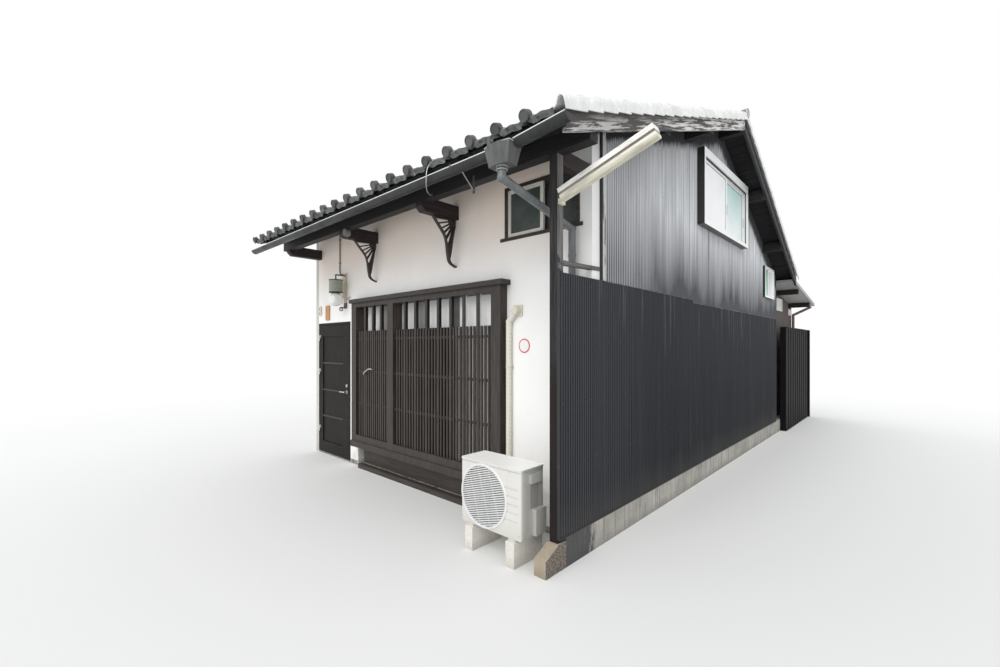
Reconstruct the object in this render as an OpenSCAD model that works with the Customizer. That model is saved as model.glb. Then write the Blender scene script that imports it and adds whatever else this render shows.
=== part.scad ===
// Machiya townhouse: the end house of a row, with a street front and a clad side wall.
// Millimetres. The ground is z = 0, +X leaves the side wall, -Y is the street, +Y the rear yard.
// The origin is on the ground, plumb under the eave purlin's front and the cladding's face.

/* [House] */
// Width from the party wall to the face of the side cladding
house_w = 5020; // [4600:10:6100]
// Depth from the front of the eave purlin to the rear wall
house_d = 7060; // [5800:10:8400]
// Depth of the covered strip in front of the front wall
porch_d = 500; // [400:10:700]
// Thickness of the front and rear walls
wall_t = 120; // [90:5:160]
// Thickness of the side wall behind its cladding
side_wall_t = 110; // [90:5:140]
// Thickness of this house's half of the party wall
party_t = 90; // [70:5:130]
// Top of the concrete base under the side and rear walls
base_h = 226; // [180:1:300]
// Top of the low kerb under the front wall
front_base_h = 60; // [40:5:90]
// Width of the concrete base
base_w = 150; // [140:5:180]
// How far the concrete base runs on behind the rear wall
base_tail = 780; // [600:10:1000]
// Top of the ground floor
ground_floor_top = 40; // [25:5:60]
// Top of the upper floor
upper_floor_top = 2420; // [2380:5:2460]
// Thickness of the upper floor
upper_floor_t = 120; // [90:5:160]
// Width of the passage through the rear wall
passage_w = 900; // [750:10:1000]
// Top of the passage through the rear wall
passage_h = 1970; // [1850:10:2100]

/* [Roof] */
// Depth of the ridge behind the eave purlin's front
ridge_y = 3710; // [3300:10:4200]
// Underside of the roof boards at the ridge
ridge_z = 4575; // [4450:5:4800]
// Rise over run of the front slope
front_slope = 0.36; // [0.3:0.01:0.4]
// Rise over run of the rear slope
rear_slope = 0.48; // [0.44:0.01:0.5]
// How far the front eave reaches before the eave purlin
front_eave = 330; // [250:10:400]
// How far the rear eave reaches behind the rear wall
rear_eave = 130; // [80:10:160]
// How far the rake reaches out of the side cladding
rake_out = 300; // [200:10:400]
// Thickness of the roof boards
roof_board_t = 15; // [10:1:25]
// Height of a rafter
rafter_h = 45; // [40:1:75]
// Width of a rafter
rafter_w = 40; // [30:1:50]
// Width of a roof purlin
purlin_w = 105; // [90:5:130]
// Height of a roof purlin
purlin_h = 90; // [80:5:130]
// Spacing of the roof purlins
purlin_pitch = 1190; // [1100:10:1250]
// Thickness of the bargeboards
barge_t = 30; // [20:1:40]
// How far a bargeboard hangs under the roof boards
barge_drop = 125; // [100:5:180]

/* [Roof tiles] */
// Height of the tile valleys above the underside of the roof boards
tile_valley = 32; // [26:2:60]
// How far the tiles reach past the roof boards at the front eave
tile_lip = 45; // [20:5:60]
// Width of the rake tiles on top of the roof
rake_tile_w = 60; // [50:5:100]
// Thickness of the rake tiles' hanging flap
rake_flap_t = 40; // [20:1:50]
// Height of the rake tiles over the roof boards
rake_tile_h = 65; // [50:5:80]
// Width of the ridge course
ridge_tile_w = 230; // [180:10:280]
// Height of the ridge course over the tile valleys
ridge_tile_h = 46; // [30:2:120]
// Radius of the round ridge cap
ridge_cap_r = 64; // [50:1:80]

/* [Eave] */
// Side of the square corner post
post_w = 72; // [65:1:105]
// Set-back of the corner post behind the eave purlin's front
post_y = 22; // [10:1:28]
// Underside of the eave purlin
eave_purlin_z = 3070; // [3040:5:3100]
// Width of the eave purlin
eave_purlin_w = 100; // [80:5:120]
// Width of an eave arm
arm_w = 100; // [80:5:120]
// Underside of the eave arms
arm_z = 2990; // [2960:5:3020]
// Height of an eave arm
arm_h = 140; // [110:5:170]
// Size of the chamfer at an arm's outer end
arm_nose = 45; // [20:5:60]
// Distances of the eave arms from the side cladding
arm_right = 1690; // [1500:10:1900]
arm_mid = 3265; // [3000:10:3500]
// Width of the iron brackets
bracket_w = 36; // [24:1:50]

/* [Side cladding] */
// Thickness of the lower cladding with its battens
clad_t = 20; // [15:1:30]
// Thickness of the upper cladding
upper_clad_t = 14; // [10:1:18]
// Seam between the lower and the upper cladding near the front
clad_seam = 2195; // [2100:5:2230]
// How far the seam steps down at the rear
clad_step = 35; // [20:5:60]
// Depth at which the seam steps down
clad_step_y = 2700; // [2000:50:4000]
// Thickness of the wing wall's frame
wing_t = 60; // [40:5:80]
// Underside of the wooden rail over the wing wall
wing_rail_z = 2255; // [2245:1:2265]
// Side of the wooden rail over the wing wall
wing_rail_t = 34; // [25:1:40]
// Rise of the rail towards the front wall
wing_rail_rise = 17; // [0:1:25]
// Width of the trim board at the upper cladding's front edge
edge_trim_w = 60; // [40:5:80]

/* [Entry door] */
// Width of the doorway's leaf
door_w = 910; // [750:5:940]
// Height of the leaf
door_h = 1930; // [1800:5:1960]
// Thickness of the leaf
door_t = 40; // [34:1:45]
// Width of the door frame's jambs and head
door_jamb = 35; // [30:1:45]
// Clearance round the leaf
door_gap = 5; // [5:0.5:8]
// Top of the threshold
threshold_h = 25; // [15:1:35]
// Height of the lever's spindle
lever_z = 990; // [900:5:1050]
// Length of the lever
lever_l = 115; // [100:1:140]

/* [Lattice window] */
// Distance from the side cladding to the lattice's right end
lattice_right = 950; // [900:5:1100]
// Width of the lattice window
lattice_w = 2780; // [2300:10:2900]
// How far the lattice stands out of the wall
lattice_out = 100; // [80:5:140]
// Underside of the lattice's sill rail
lattice_bottom = 290; // [250:5:350]
// Top of the lattice window under its cap
lattice_top = 2230; // [2150:5:2250]
// Height of the sill rails
lattice_sill_h = 165; // [120:5:200]
// Height of the head rail
lattice_head_h = 60; // [50:5:90]
// Width of the end stiles
lattice_stile = 120; // [80:5:140]
// Width of the left panel between its stile and the heavy post
lattice_left_w = 760; // [600:10:900]
// Width of the thick slats
slat_parent_w = 36; // [28:1:44]
// Width of the thin slats
slat_child_w = 24; // [18:1:28]
// Top of the thin slats
slat_child_top = 1850; // [1700:10:1950]
// Heights of the three horizontal rails
rail_heights = [880, 1315, 1745];
// Height of a horizontal rail
rail_h = 30; // [20:1:40]

/* [Upper windows] */
// Width of the front upper window
front_win_w = 840; // [700:5:900]
// Sill height of the front upper window
front_win_z = 2650; // [2500:10:2700]
// Height of the front upper window
front_win_h = 507; // [400:1:560]
// Depth of the side window's left edge behind the corner
side_win_y = 2870; // [2700:10:3000]
// Width of the side window
side_win_w = 1900; // [1500:10:1920]
// Sill height of the side window
side_win_z = 3115; // [3000:5:3150]
// Height of the side window
side_win_h = 920; // [800:10:930]
// How far the side window's frame stands out of the cladding
side_win_out = 80; // [60:5:100]
// Width of the small side window
small_win_w = 690; // [500:10:720]
// Distance of the small side window from the rear wall's face
small_win_back = 310; // [200:10:340]
// Sill height of the small side window
small_win_z = 2500; // [2450:5:2550]
// Height of the small side window
small_win_h = 540; // [300:10:560]

/* [Rain goods] */
// Outer radius of the front gutter
gutter_r = 50; // [45:1:55]
// Thickness of the gutter
gutter_t = 4; // [3:0.5:6]
// Height of the gutter's rim
gutter_z = 3017; // [2990:1:3030]
// Rise over run of the gutter right of the hopper
gutter_rise = 0.09; // [0:0.01:0.1]
// Distance of the hopper's middle from the side cladding
hopper_x = 168; // [150:1:200]
// Width of the hopper's top
hopper_w = 234; // [200:2:260]
// Height of the hopper
hopper_h = 142; // [120:2:170]
// Radius of the downpipe
pipe_r = 30; // [25:1:35]

/* [Air conditioner] */
// Width of the outdoor unit
ac_w = 650; // [600:5:800]
// Depth of the outdoor unit
ac_d = 280; // [250:5:320]
// Height of the outdoor unit
ac_h = 540; // [500:5:640]
// Distance from the side cladding to the unit's right side
ac_right = 220; // [200:5:320]
// Distance of the unit's back behind the corner post's front
ac_back = 120; // [80:5:200]
// Radius of the taped pipe
ac_pipe_r = 28; // [20:1:32]
// Height of the blocks under the unit
ac_block_h = 190; // [60:5:220]
// Radius of the fan opening
ac_fan_r = 236; // [220:1:240]

/* [Lamps] */
// Height of the street lamp's foot on the corner post
street_lamp_z = 2755; // [2700:5:2800]
// Tilt of the street lamp
street_lamp_tilt = 18; // [10:1:25]
// Length of the street lamp
street_lamp_l = 775; // [600:5:900]
// Distance of the wall lamp from the lattice window
wall_lamp_x = 340; // [300:10:400]
// Underside of the wall lamp's shade
wall_lamp_z = 2400; // [2350:5:2450]
// Radius of the wall lamp's shade
wall_lamp_r = 94; // [80:1:100]
// Radius of the wall lamp's globe
globe_r = 98; // [85:1:105]

/* [Rear wing] */
// Depth of the rear wing behind the rear wall
wing_d = 2140; // [1800:10:2600]
// Set-back of the rear wing's side wall from the side cladding
wing_back = 120; // [100:10:300]
// Top of the rear wing's roof at the rear wall
wing_roof_z = 2885; // [2800:5:2890]
// Fall of the rear wing's roof over its run
wing_slope = 0.13; // [0.08:0.005:0.16]
// Thickness of the rear wing's roof
wing_roof_t = 60; // [40:5:90]
// Height of the yard fence
fence_h = 2020; // [1800:10:2100]
// Length of the yard fence
fence_l = 2450; // [2000:10:2800]
// How far the fence stands out of the side cladding
fence_out = 70; // [50:5:90]

/* [Hidden] */
$fn = 48;

e = 1;
front_y = porch_d;
front_in = front_y + wall_t;
rear_in = house_d - wall_t;
left_x = -house_w;
left_in = left_x + party_t;
side_x = -clad_t;
side_in = side_x - side_wall_t;
upper_floor_z = upper_floor_top - upper_floor_t;

frame_left = left_in;
leaf_left = frame_left + door_jamb + door_gap;
leaf_right = leaf_left + door_w;
frame_right = leaf_right + door_gap + door_jamb;
leaf_z = threshold_h + door_gap;
leaf_top = leaf_z + door_h;
frame_top = leaf_top + door_gap + door_jamb;
hinge_r = 8;
pin_r = 4;
hinge_fit = 0.3;
hinge_h = 90;
hinge_x = leaf_left - door_gap / 2;
hinge_y = front_y - hinge_r;
hinge_plate = 30;
hinge_plate_t = 3;
hinge_zs = [330, 1210, 1730];
lever_x = leaf_right - 60;
lever_r = 9;
rose_r = 24;
rose_t = 8;
lever_stand = 45;

lattice_x1 = -lattice_right;
lattice_x0 = lattice_x1 - lattice_w;
lattice_y = front_y - lattice_out;
lattice_back = front_y + 30;
left_bay_x = lattice_x0 + lattice_stile;
lattice_post_x = left_bay_x + lattice_left_w;
right_bay_x = lattice_post_x + lattice_stile;
right_bay_end = lattice_x1 - lattice_stile;
slat_y = lattice_y + 22;
slat_d = 40;
left_bays = 4;
right_bays = 8;

front_win_x1 = side_in - 5;
front_win_x0 = front_win_x1 - front_win_w;
front_win_top = front_win_z + front_win_h;
front_casing = 30;
front_meet_x = front_win_x0 + 0.54 * front_win_w;
sash_t = 35;
side_win_y1 = side_win_y + side_win_w;
side_win_top = side_win_z + side_win_h;
side_stile = 45;
side_head = 95;
side_meet_y = (side_win_y + side_win_y1) / 2;
small_win_y = house_d - small_win_back - small_win_w;
small_frame = 35;
glass_t = 4;

rake_x = rake_out;
barge_x = rake_x - barge_t;
rake_tile_x = rake_x - rake_tile_w;
rear_eave_y = house_d + rear_eave;
front_purlins = floor((ridge_y - front_in) / purlin_pitch);
rear_purlins = floor((rear_in - ridge_y) / purlin_pitch);

gutter_gap = 12;
gutter_y = -front_eave - gutter_gap - gutter_r;
gutter_x1 = rake_x + 65;
strap_fit = 2;
hopper_y = gutter_y - 28;
hopper_low = gutter_z - hopper_h;
collar_h = 25;
pipe_bend_z = 2620;

post_back = post_y + post_w;
post_x = side_x - post_w;
stone_w = 105;
stone_out = 147;
stone_top = 196;
stone_front_h = 125;
rail_proud = 6;

// Outer edge of a fan bracket: angles under the arm, and distances from its corner at the wall
fan_edge = [[1, 320], [10, 284], [23, 255], [36, 242], [49, 246], [57, 266], [63, 297],
    [68.5, 349], [72, 394], [75, 434], [76.8, 458], [79.5, 475], [83, 488], [87.7, 499]];
// Inner edge of a fan bracket, from the curled tail at the wall up to the arm
fan_back = [[0, -503], [0, -489], [-22, -486], [-52, -473], [-76, -455], [-90, -425],
    [-74, -366], [-60, -290], [-47, -216], [-32, -140], [-20, -78], [-13, 0]];
fan_rib = 14;
fan_hub = 98;

ac_x1 = -ac_right;
ac_x0 = ac_x1 - ac_w;
ac_front = ac_back - ac_d;
ac_top = ac_block_h + ac_h;
fan_x = ac_x0 + ac_fan_r + 27;
fan_z = ac_block_h + ac_h / 2;

lamp_x = lattice_x0 - wall_lamp_x;
lamp_y = front_y - 155;

wing_side_x = -wing_back;
wing_rear_y = house_d + wing_d;
wing_wall_t = 100;
wing_base_w = 130;
wing_win_low = [house_d + 590, 2370];
wing_win_high = [house_d + 1090, 2620];
arm_left = house_w - party_t - arm_w / 2 - 10;

// A box from one corner to the opposite one
module block(low, high) {
    translate(low)
        cube(high - low);
}

// An outline in the YZ plane, drawn out along X
module along_x(x0, x1) {
    translate([x0, 0, 0])
        rotate([90, 0, 90])
            linear_extrude(x1 - x0)
                children();
}

// An outline in the XZ plane, drawn out along Y
module along_y(y0, y1) {
    translate([0, y1, 0])
        rotate([90, 0, 0])
            linear_extrude(y1 - y0)
                children();
}

// A round bar between two points
module bar(from, to, r) {
    run = to - from;
    translate(from)
        rotate([0, acos(run[2] / norm(run)), atan2(run[1], run[0])])
            cylinder(r = r, h = norm(run));
}

// Underside of the roof boards at depth y
function roof_z(y) = ridge_z
    - (y < ridge_y ? front_slope * (ridge_y - y) : rear_slope * (y - ridge_y));

// Top of the rear wing's roof at depth y
function wing_z(y) = wing_roof_z - wing_slope * (y - house_d);

// Height of the gutter's rim at x: level up to the hopper, rising behind it
function gutter_rim(x) = gutter_z + max(0, x + hopper_x) * gutter_rise;

// A point of a fan bracket, at an angle under the arm and a distance from the corner
function fan_dir(a, r) = [-r * cos(a), -r * sin(a)];

// A layer of one roof slope between two depths, from low to high over the boards' underside
module roof_layer(y0, y1, low, high) {
    polygon([
        [y0, roof_z(y0) + low], [y1, roof_z(y1) + low],
        [y1, roof_z(y1) + high], [y0, roof_z(y0) + high]
    ]);
}

// A layer over both slopes
module roof_fold(y0, y1, low, high) {
    polygon([
        [y0, roof_z(y0) + low], [ridge_y, ridge_z + low], [y1, roof_z(y1) + low],
        [y1, roof_z(y1) + high], [ridge_y, ridge_z + high], [y0, roof_z(y0) + high]
    ]);
}

// A gable wall's outline up to the roof boards
module gable(y0, y1, z0) {
    polygon([[y0, z0], [y1, z0], [y1, roof_z(y1)], [ridge_y, ridge_z], [y0, roof_z(y0)]]);
}

module footing() {
    color("darkgray") {
        block([-base_w, stone_w, 0], [0, house_d + base_tail, base_h]);
        block([left_in + passage_w, rear_in, 0], [-base_w, house_d, base_h]);
        block([frame_right, front_y, 0], [-base_w, front_in, front_base_h]);
        block([left_in, front_y, 0], [frame_right, front_in, threshold_h]);
        block([wing_side_x - wing_base_w, house_d, 0], [wing_side_x, wing_rear_y, base_h]);
        block([left_x, wing_rear_y - wing_base_w, 0], [wing_side_x, wing_rear_y, base_h]);
        block([left_x, house_d, 0], [left_in, wing_rear_y, base_h]);
    }
}

module corner_stone() {
    color("tan")
        along_x(-stone_w, 0)
            polygon([
                [-stone_out, 0], [stone_w, 0], [stone_w, stone_top], [post_y - 12, stone_top],
                [-stone_out, stone_front_h]
            ]);
}

module ground_floor() {
    color("gray")
    {
        block([left_in, front_in, 0], [-base_w, rear_in, ground_floor_top]);
        block([left_in, rear_in, 0], [left_in + passage_w, house_d, ground_floor_top]);
        block([left_in, house_d, 0],
            [wing_side_x - wing_base_w, wing_rear_y - wing_base_w, ground_floor_top]);
    }
}

module upper_floor() {
    color("burlywood")
        block([left_in, front_in, upper_floor_z], [side_in, rear_in, upper_floor_top]);
}

module front_wall_pier() {
    color("ivory")
        block([frame_right, front_y, front_base_h], [lattice_x0, front_in, lattice_top]);
}

module front_wall_right() {
    color("ivory")
        along_y(front_y, front_in)
            polygon([
                [lattice_x1, front_base_h], [-base_w, front_base_h], [-base_w, base_h],
                [side_x, base_h], [side_x, lattice_top], [lattice_x1, lattice_top]
            ]);
}

module front_wall_over_door() {
    color("ivory")
        block([left_in, front_y, frame_top], [frame_right, front_in, lattice_top]);
}

module front_wall_upper() {
    color("ivory")
        difference() {
            along_x(left_in, side_x)
                polygon([
                    [front_y, lattice_top], [front_in, lattice_top],
                    [front_in, roof_z(front_in) - rafter_h], [front_y, roof_z(front_y) - rafter_h]
                ]);
            block([front_win_x0, front_y - e, front_win_z], [front_win_x1, front_in + e, front_win_top]);
            for (x = [arm_right, arm_mid, arm_left])
                eave_arm(x);
            wing_rail();
        }
}

module side_wall() {
    color("wheat")
        difference() {
            along_x(side_in, side_x)
                gable(front_in, house_d, base_h);
            side_openings();
            roof_purlins();
        }
}

module party_wall() {
    color("silver")
        difference() {
            along_x(left_x, left_in)
                gable(front_y, house_d, 0);
            roof_purlins();
        }
}

module rear_wall() {
    color("silver")
        difference() {
            along_x(left_in, side_in)
                polygon([
                    [rear_in, base_h], [house_d, base_h],
                    [house_d, roof_z(house_d) - rafter_h], [rear_in, roof_z(rear_in) - rafter_h]
                ]);
            block([left_in - e, rear_in - e, base_h - e],
                [left_in + passage_w, house_d + e, passage_h]);
        }
}

module lower_cladding() {
    color("#24262b")
        along_x(side_x, 0)
            polygon([
                [post_y, base_h], [house_d, base_h], [house_d, clad_seam - clad_step],
                [clad_step_y, clad_seam - clad_step], [clad_step_y, clad_seam], [post_y, clad_seam]
            ]);
}

module upper_cladding() {
    trim_end = front_in + edge_trim_w;
    color("#33363c")
        difference() {
            along_x(side_x, side_x + upper_clad_t)
                polygon([
                    [trim_end, clad_seam], [clad_step_y, clad_seam],
                    [clad_step_y, clad_seam - clad_step], [house_d, clad_seam - clad_step],
                    [house_d, roof_z(house_d)], [ridge_y, ridge_z], [trim_end, roof_z(trim_end)]
                ]);
            side_openings();
            roof_purlins();
        }
}

// The two window openings through the side wall and its cladding
module side_openings() {
    block([side_in - e, side_win_y, side_win_z], [e, side_win_y1, side_win_top]);
    block([side_in - e, small_win_y, small_win_z],
        [e, small_win_y + small_win_w, small_win_z + small_win_h]);
}

module wing_wall() {
    color("#3a3634")
        block([side_x - wing_t, post_back, base_h], [side_x, front_y, clad_seam]);
}

module wing_rail() {
    color("#6b5d4f")
        along_x(side_x + rail_proud - wing_rail_t, side_x + rail_proud)
            polygon([
                [post_back, wing_rail_z], [front_in, wing_rail_z + wing_rail_rise],
                [front_in, wing_rail_z + wing_rail_rise + wing_rail_t],
                [post_back, wing_rail_z + wing_rail_t]
            ]);
}

module corner_post() {
    color("#3b2f2a")
        block([post_x, post_y, stone_top], [side_x, post_back, eave_purlin_z]);
}

module edge_trim() {
    color("#7a7066")
        along_x(side_x, side_x + clad_t + 4)
            polygon([
                [front_in, clad_seam], [front_in + edge_trim_w, clad_seam],
                [front_in + edge_trim_w, roof_z(front_in + edge_trim_w)],
                [front_in, roof_z(front_in)]
            ]);
}

module eave_purlin() {
    color("#2e2622")
        along_x(left_x, barge_x)
            polygon([
                [0, eave_purlin_z], [eave_purlin_w, eave_purlin_z],
                [eave_purlin_w, roof_z(eave_purlin_w) - rafter_h], [0, roof_z(0) - rafter_h]
            ]);
}

// One arm that carries the eave purlin, notched under it and chamfered at its outer end
module eave_arm(x) {
    nose_y = 10;
    along_x(-x - arm_w / 2, -x + arm_w / 2)
        polygon([
            [nose_y, eave_purlin_z], [nose_y, arm_z + arm_nose], [nose_y + arm_nose, arm_z],
            [front_in, arm_z], [front_in, arm_z + arm_h], [eave_purlin_w, arm_z + arm_h],
            [eave_purlin_w, eave_purlin_z]
        ]);
}

module eave_arms() {
    corner_h = 120;
    color("#2e2622") {
        for (x = [arm_right, arm_mid, arm_left])
            eave_arm(x);
        block([post_x, eave_purlin_w, arm_z + arm_h / 2 - corner_h / 2],
            [side_x, front_y, arm_z + arm_h / 2 + corner_h / 2]);
    }
}

// One iron fan bracket: a pierced sheet between the wall and the underside of its arm
module fan_bracket(x) {
    slot_in = 58;
    slot_out = 74;
    along_x(-x - bracket_w / 2, -x + bracket_w / 2)
        translate([front_y, arm_z])
            difference() {
                polygon(concat([[-fan_edge[0][1], 0]],
                    [for (p = fan_edge) fan_dir(p[0], p[1])], fan_back));
                for (a = [10, 23.6, 37.2, 50.8, 64.4])
                    fan_opening(a);
                intersection() {
                    difference() {
                        circle(r = slot_out);
                        circle(r = slot_in);
                    }
                    polygon([[0, 0], fan_dir(15, 2 * fan_hub), fan_dir(68, 2 * fan_hub)]);
                }
            }
}

// Distance at which the openings end along an angle, short of the outer edge
function fan_reach(a) = min(lookup(a, fan_edge) - fan_rib, 290);

// The opening between two ribs of a fan bracket, narrow at the hub
module fan_opening(a) {
    near = 3.2;
    far = 5.2;
    polygon([
        fan_dir(a - near, fan_hub), fan_dir(a - far, fan_reach(a - far)), fan_dir(a, fan_reach(a)),
        fan_dir(a + far, fan_reach(a + far)), fan_dir(a + near, fan_hub)
    ]);
}

module bracket_left() {
    color("#3a2620")
        fan_bracket(arm_mid);
}

module bracket_right() {
    color("#3a2620")
        fan_bracket(arm_right);
}

// One purlin under the rafters
module roof_purlin(y) {
    low = min(roof_z(y - purlin_w / 2), roof_z(y + purlin_w / 2)) - rafter_h - purlin_h;
    along_x(left_x, barge_x)
        polygon([
            [y - purlin_w / 2, low], [y + purlin_w / 2, low],
            [y + purlin_w / 2, roof_z(y + purlin_w / 2) - rafter_h],
            [y, roof_z(y) - rafter_h],
            [y - purlin_w / 2, roof_z(y - purlin_w / 2) - rafter_h]
        ]);
}

module roof_purlins() {
    color("#4a3b30")
        for (i = [-front_purlins:rear_purlins])
            roof_purlin(ridge_y + i * purlin_pitch);
}

module rafters() {
    bays = 12;
    pitch = (side_in - left_in) / bays;
    color("#4a3b30")
        for (i = [0.5:1:bays])
            along_x(left_in + i * pitch - rafter_w / 2, left_in + i * pitch + rafter_w / 2)
                roof_fold(20 - front_eave, house_d, -rafter_h, 0);
}

module roof_boards_front() {
    color("#5b4a3c")
        along_x(left_x, barge_x)
            roof_layer(-front_eave, ridge_y, 0, roof_board_t);
}

module roof_boards_rear() {
    color("#5b4a3c")
        along_x(left_x, barge_x)
            roof_layer(ridge_y, rear_eave_y, 0, roof_board_t);
}

module roof_tiles_front() {
    reach = ridge_y + front_eave + tile_lip;
    color("slategray")
        along_x(left_x, rake_tile_x)
            roof_layer(ridge_y - reach, ridge_y, roof_board_t, tile_valley);
}

module roof_tiles_rear() {
    color("slategray")
        along_x(left_x, rake_tile_x)
            roof_layer(ridge_y, rear_eave_y + tile_lip, roof_board_t, tile_valley);
}

module ridge_tiles() {
    half = ridge_tile_w / 2;
    batter = 20;
    top = ridge_z + tile_valley + ridge_tile_h;
    color("slategray")
        along_x(left_x, rake_x + rake_flap_t) {
            polygon([
                [ridge_y - half, roof_z(ridge_y - half) + tile_valley],
                [ridge_y, ridge_z + tile_valley],
                [ridge_y + half, roof_z(ridge_y + half) + tile_valley],
                [ridge_y + half - batter, top],
                [ridge_y - half + batter, top]
            ]);
            translate([ridge_y, top])
                difference() {
                    circle(r = ridge_cap_r);
                    translate([-2 * ridge_cap_r, -2 * ridge_cap_r - batter])
                        square([4 * ridge_cap_r, 2 * ridge_cap_r]);
                }
        }
}

module rake_tiles() {
    half = ridge_tile_w / 2;
    top = roof_board_t + rake_tile_h;
    runs = [[-front_eave - tile_lip, ridge_y - half], [ridge_y + half, rear_eave_y + tile_lip]];
    color("#a5a9ab")
        for (run = runs) {
            along_x(rake_tile_x, rake_x)
                roof_layer(run[0], run[1], roof_board_t, top);
            along_x(rake_x, rake_x + rake_flap_t)
                roof_layer(run[0], run[1], 0, top);
        }
}

module bargeboard_front() {
    color("#b8b6b0")
        along_x(barge_x, rake_x)
            roof_layer(-front_eave, ridge_y, -barge_drop, roof_board_t);
}

module bargeboard_rear() {
    color("#2b2b2b")
        along_x(barge_x, rake_x)
            roof_layer(ridge_y, rear_eave_y, -barge_drop, roof_board_t);
}

// The half-round outline of the gutter
module gutter_half() {
    difference() {
        circle(r = gutter_r);
        translate([-2 * gutter_r, 0])
            square([4 * gutter_r, 2 * gutter_r]);
    }
}

// A run of the gutter between two places, with a cap at a part of its length
module gutter_run(x0, x1, cap_at) {
    rise = gutter_rim(x1) - gutter_rim(x0);
    run = norm([x1 - x0, rise]);
    cap_x = cap_at * (run - gutter_t);
    translate([x0, gutter_y, gutter_rim(x0)])
        rotate([0, -atan(rise / (x1 - x0)), 0]) {
            along_x(0, run)
                difference() {
                    gutter_half();
                    circle(r = gutter_r - gutter_t);
                }
            along_x(cap_x, cap_x + gutter_t)
                gutter_half();
        }
}

// A strap that hangs the gutter from the roof boards and crosses to its front rim
module gutter_strap(x) {
    strap_w = 16;
    strap_t = 3;
    back_y = gutter_y + gutter_r - gutter_t / 2;
    rim_y = gutter_y - gutter_r + gutter_t / 2;
    low = gutter_rim(x) - strap_t / 3;
    top = roof_z(back_y) + roof_board_t - strap_fit;
    block([x, back_y, low - gutter_t], [x + strap_w, -front_eave, top]);
    block([x, rim_y, low], [x + strap_w, -front_eave, low + strap_t]);
}

module gutter() {
    straps = 9;
    color("#3c3f43") {
        gutter_run(left_x, -hopper_x - hopper_w / 2, 0);
        gutter_run(hopper_w / 2 - hopper_x, gutter_x1, 1);
        for (i = [0:straps - 1])
            gutter_strap(left_x + (i + 0.5) * (house_w + rake_x) / straps);
    }
}

// The hopper's tapered funnel, its sides moved in and its top moved up
module hopper_funnel(inset, lift) {
    half = hopper_w / 2 - inset;
    nose = 37 - inset / 2;
    front = 80 - inset;
    side = 55 - inset / 2;
    translate([-hopper_x, hopper_y, gutter_z + lift])
        rotate([180, 0, 0])
            linear_extrude(hopper_h - inset + lift, scale = 0.73)
                polygon([
                    [-half, -front], [half, -front], [half, side], [nose, front], [-nose, front],
                    [-half, side]
                ]);
}

module rain_hopper() {
    sheet = 4;
    tab_x = -hopper_x - 70;
    color("gray") {
        difference() {
            hopper_funnel(0, 0);
            hopper_funnel(sheet, e);
        }
        bar([-hopper_x, hopper_y, hopper_low - collar_h], [-hopper_x, hopper_y, hopper_low],
            pipe_r + 8);
        block([tab_x, hopper_y - 75, gutter_z - 10], [tab_x + 30, hopper_y - 70, gutter_z + 50]);
    }
}

module downpipe() {
    top = hopper_low - collar_h;
    elbow = [-hopper_x, hopper_y, top - 48];
    turn = [-base_w - pipe_r, front_y - pipe_r - 20, pipe_bend_z];
    foot = [turn[0], turn[1], 0];
    band_h = 20;
    color("gray") {
        bar([-hopper_x, hopper_y, top], elbow, pipe_r);
        translate(elbow)
            sphere(r = pipe_r + 4);
        bar(elbow, turn, pipe_r);
        translate(turn)
            sphere(r = pipe_r + 4);
        bar(turn, foot, pipe_r);
        for (z = [900, 2390]) {
            translate([turn[0], turn[1], z])
                cylinder(r = pipe_r + 3, h = band_h);
            block([turn[0] - 6, turn[1], z + 4], [turn[0] + 6, front_y, z + band_h - 4]);
        }
    }
}

module door_frame() {
    color("#2f2723") {
        difference() {
            block([frame_left, front_y, threshold_h], [frame_right, front_in, frame_top]);
            block([frame_left + door_jamb, front_y - e, threshold_h - e],
                [frame_right - door_jamb, front_in + e, frame_top - door_jamb]);
        }
        for (z = hinge_zs) {
            block([hinge_x - hinge_plate, front_y - hinge_plate_t, z],
                [hinge_x - pin_r, front_y, z + hinge_h / 2 - 1]);
            translate([hinge_x, hinge_y, z])
                cylinder(r = hinge_r, h = hinge_h / 2 - 1);
            translate([hinge_x, hinge_y, z])
                cylinder(r = pin_r, h = hinge_h);
        }
    }
}

module entry_door() {
    stile = 95;
    panel_low = 160;
    panel_top = 1795;
    recess = 14;
    rails = [580, 980, 1390];
    rail_half = 12;
    rail_set = 4;
    color("#33291f")
        difference() {
            union() {
                block([leaf_left, front_y, leaf_z], [leaf_right, front_y + door_t, leaf_top]);
                for (z = hinge_zs) {
                    block([hinge_x + pin_r, front_y - hinge_plate_t, z + hinge_h / 2],
                        [hinge_x + hinge_plate, front_y, z + hinge_h]);
                    translate([hinge_x, hinge_y, z + hinge_h / 2])
                        cylinder(r = hinge_r, h = hinge_h / 2);
                }
                translate([lever_x, front_y - rose_t, lever_z])
                    rotate([-90, 0, 0])
                        cylinder(r = rose_r, h = rose_t);
            }
            difference() {
                block([leaf_left + stile, front_y - e, leaf_z + panel_low],
                    [leaf_right - 2 * stile, front_y + recess, panel_top]);
                for (z = rails)
                    block([leaf_left, front_y + rail_set, z - rail_half],
                        [leaf_right, front_y + door_t, z + rail_half]);
            }
            for (z = hinge_zs)
                translate([hinge_x, hinge_y, z - e])
                    cylinder(r = pin_r + hinge_fit, h = hinge_h + 2 * e);
        }
}

module door_lever() {
    y = front_y - rose_t - hinge_fit - lever_stand;
    neck_r = lever_r + 3;
    color("#8d8d88") {
        translate([lever_x, y, lever_z])
            rotate([-90, 0, 0])
                cylinder(r = neck_r, h = lever_stand);
        translate([lever_x, y, lever_z])
            sphere(r = neck_r);
        bar([lever_x, y, lever_z], [lever_x - lever_l, y, lever_z], lever_r);
        translate([lever_x - lever_l, y, lever_z])
            sphere(r = lever_r);
    }
}

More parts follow.
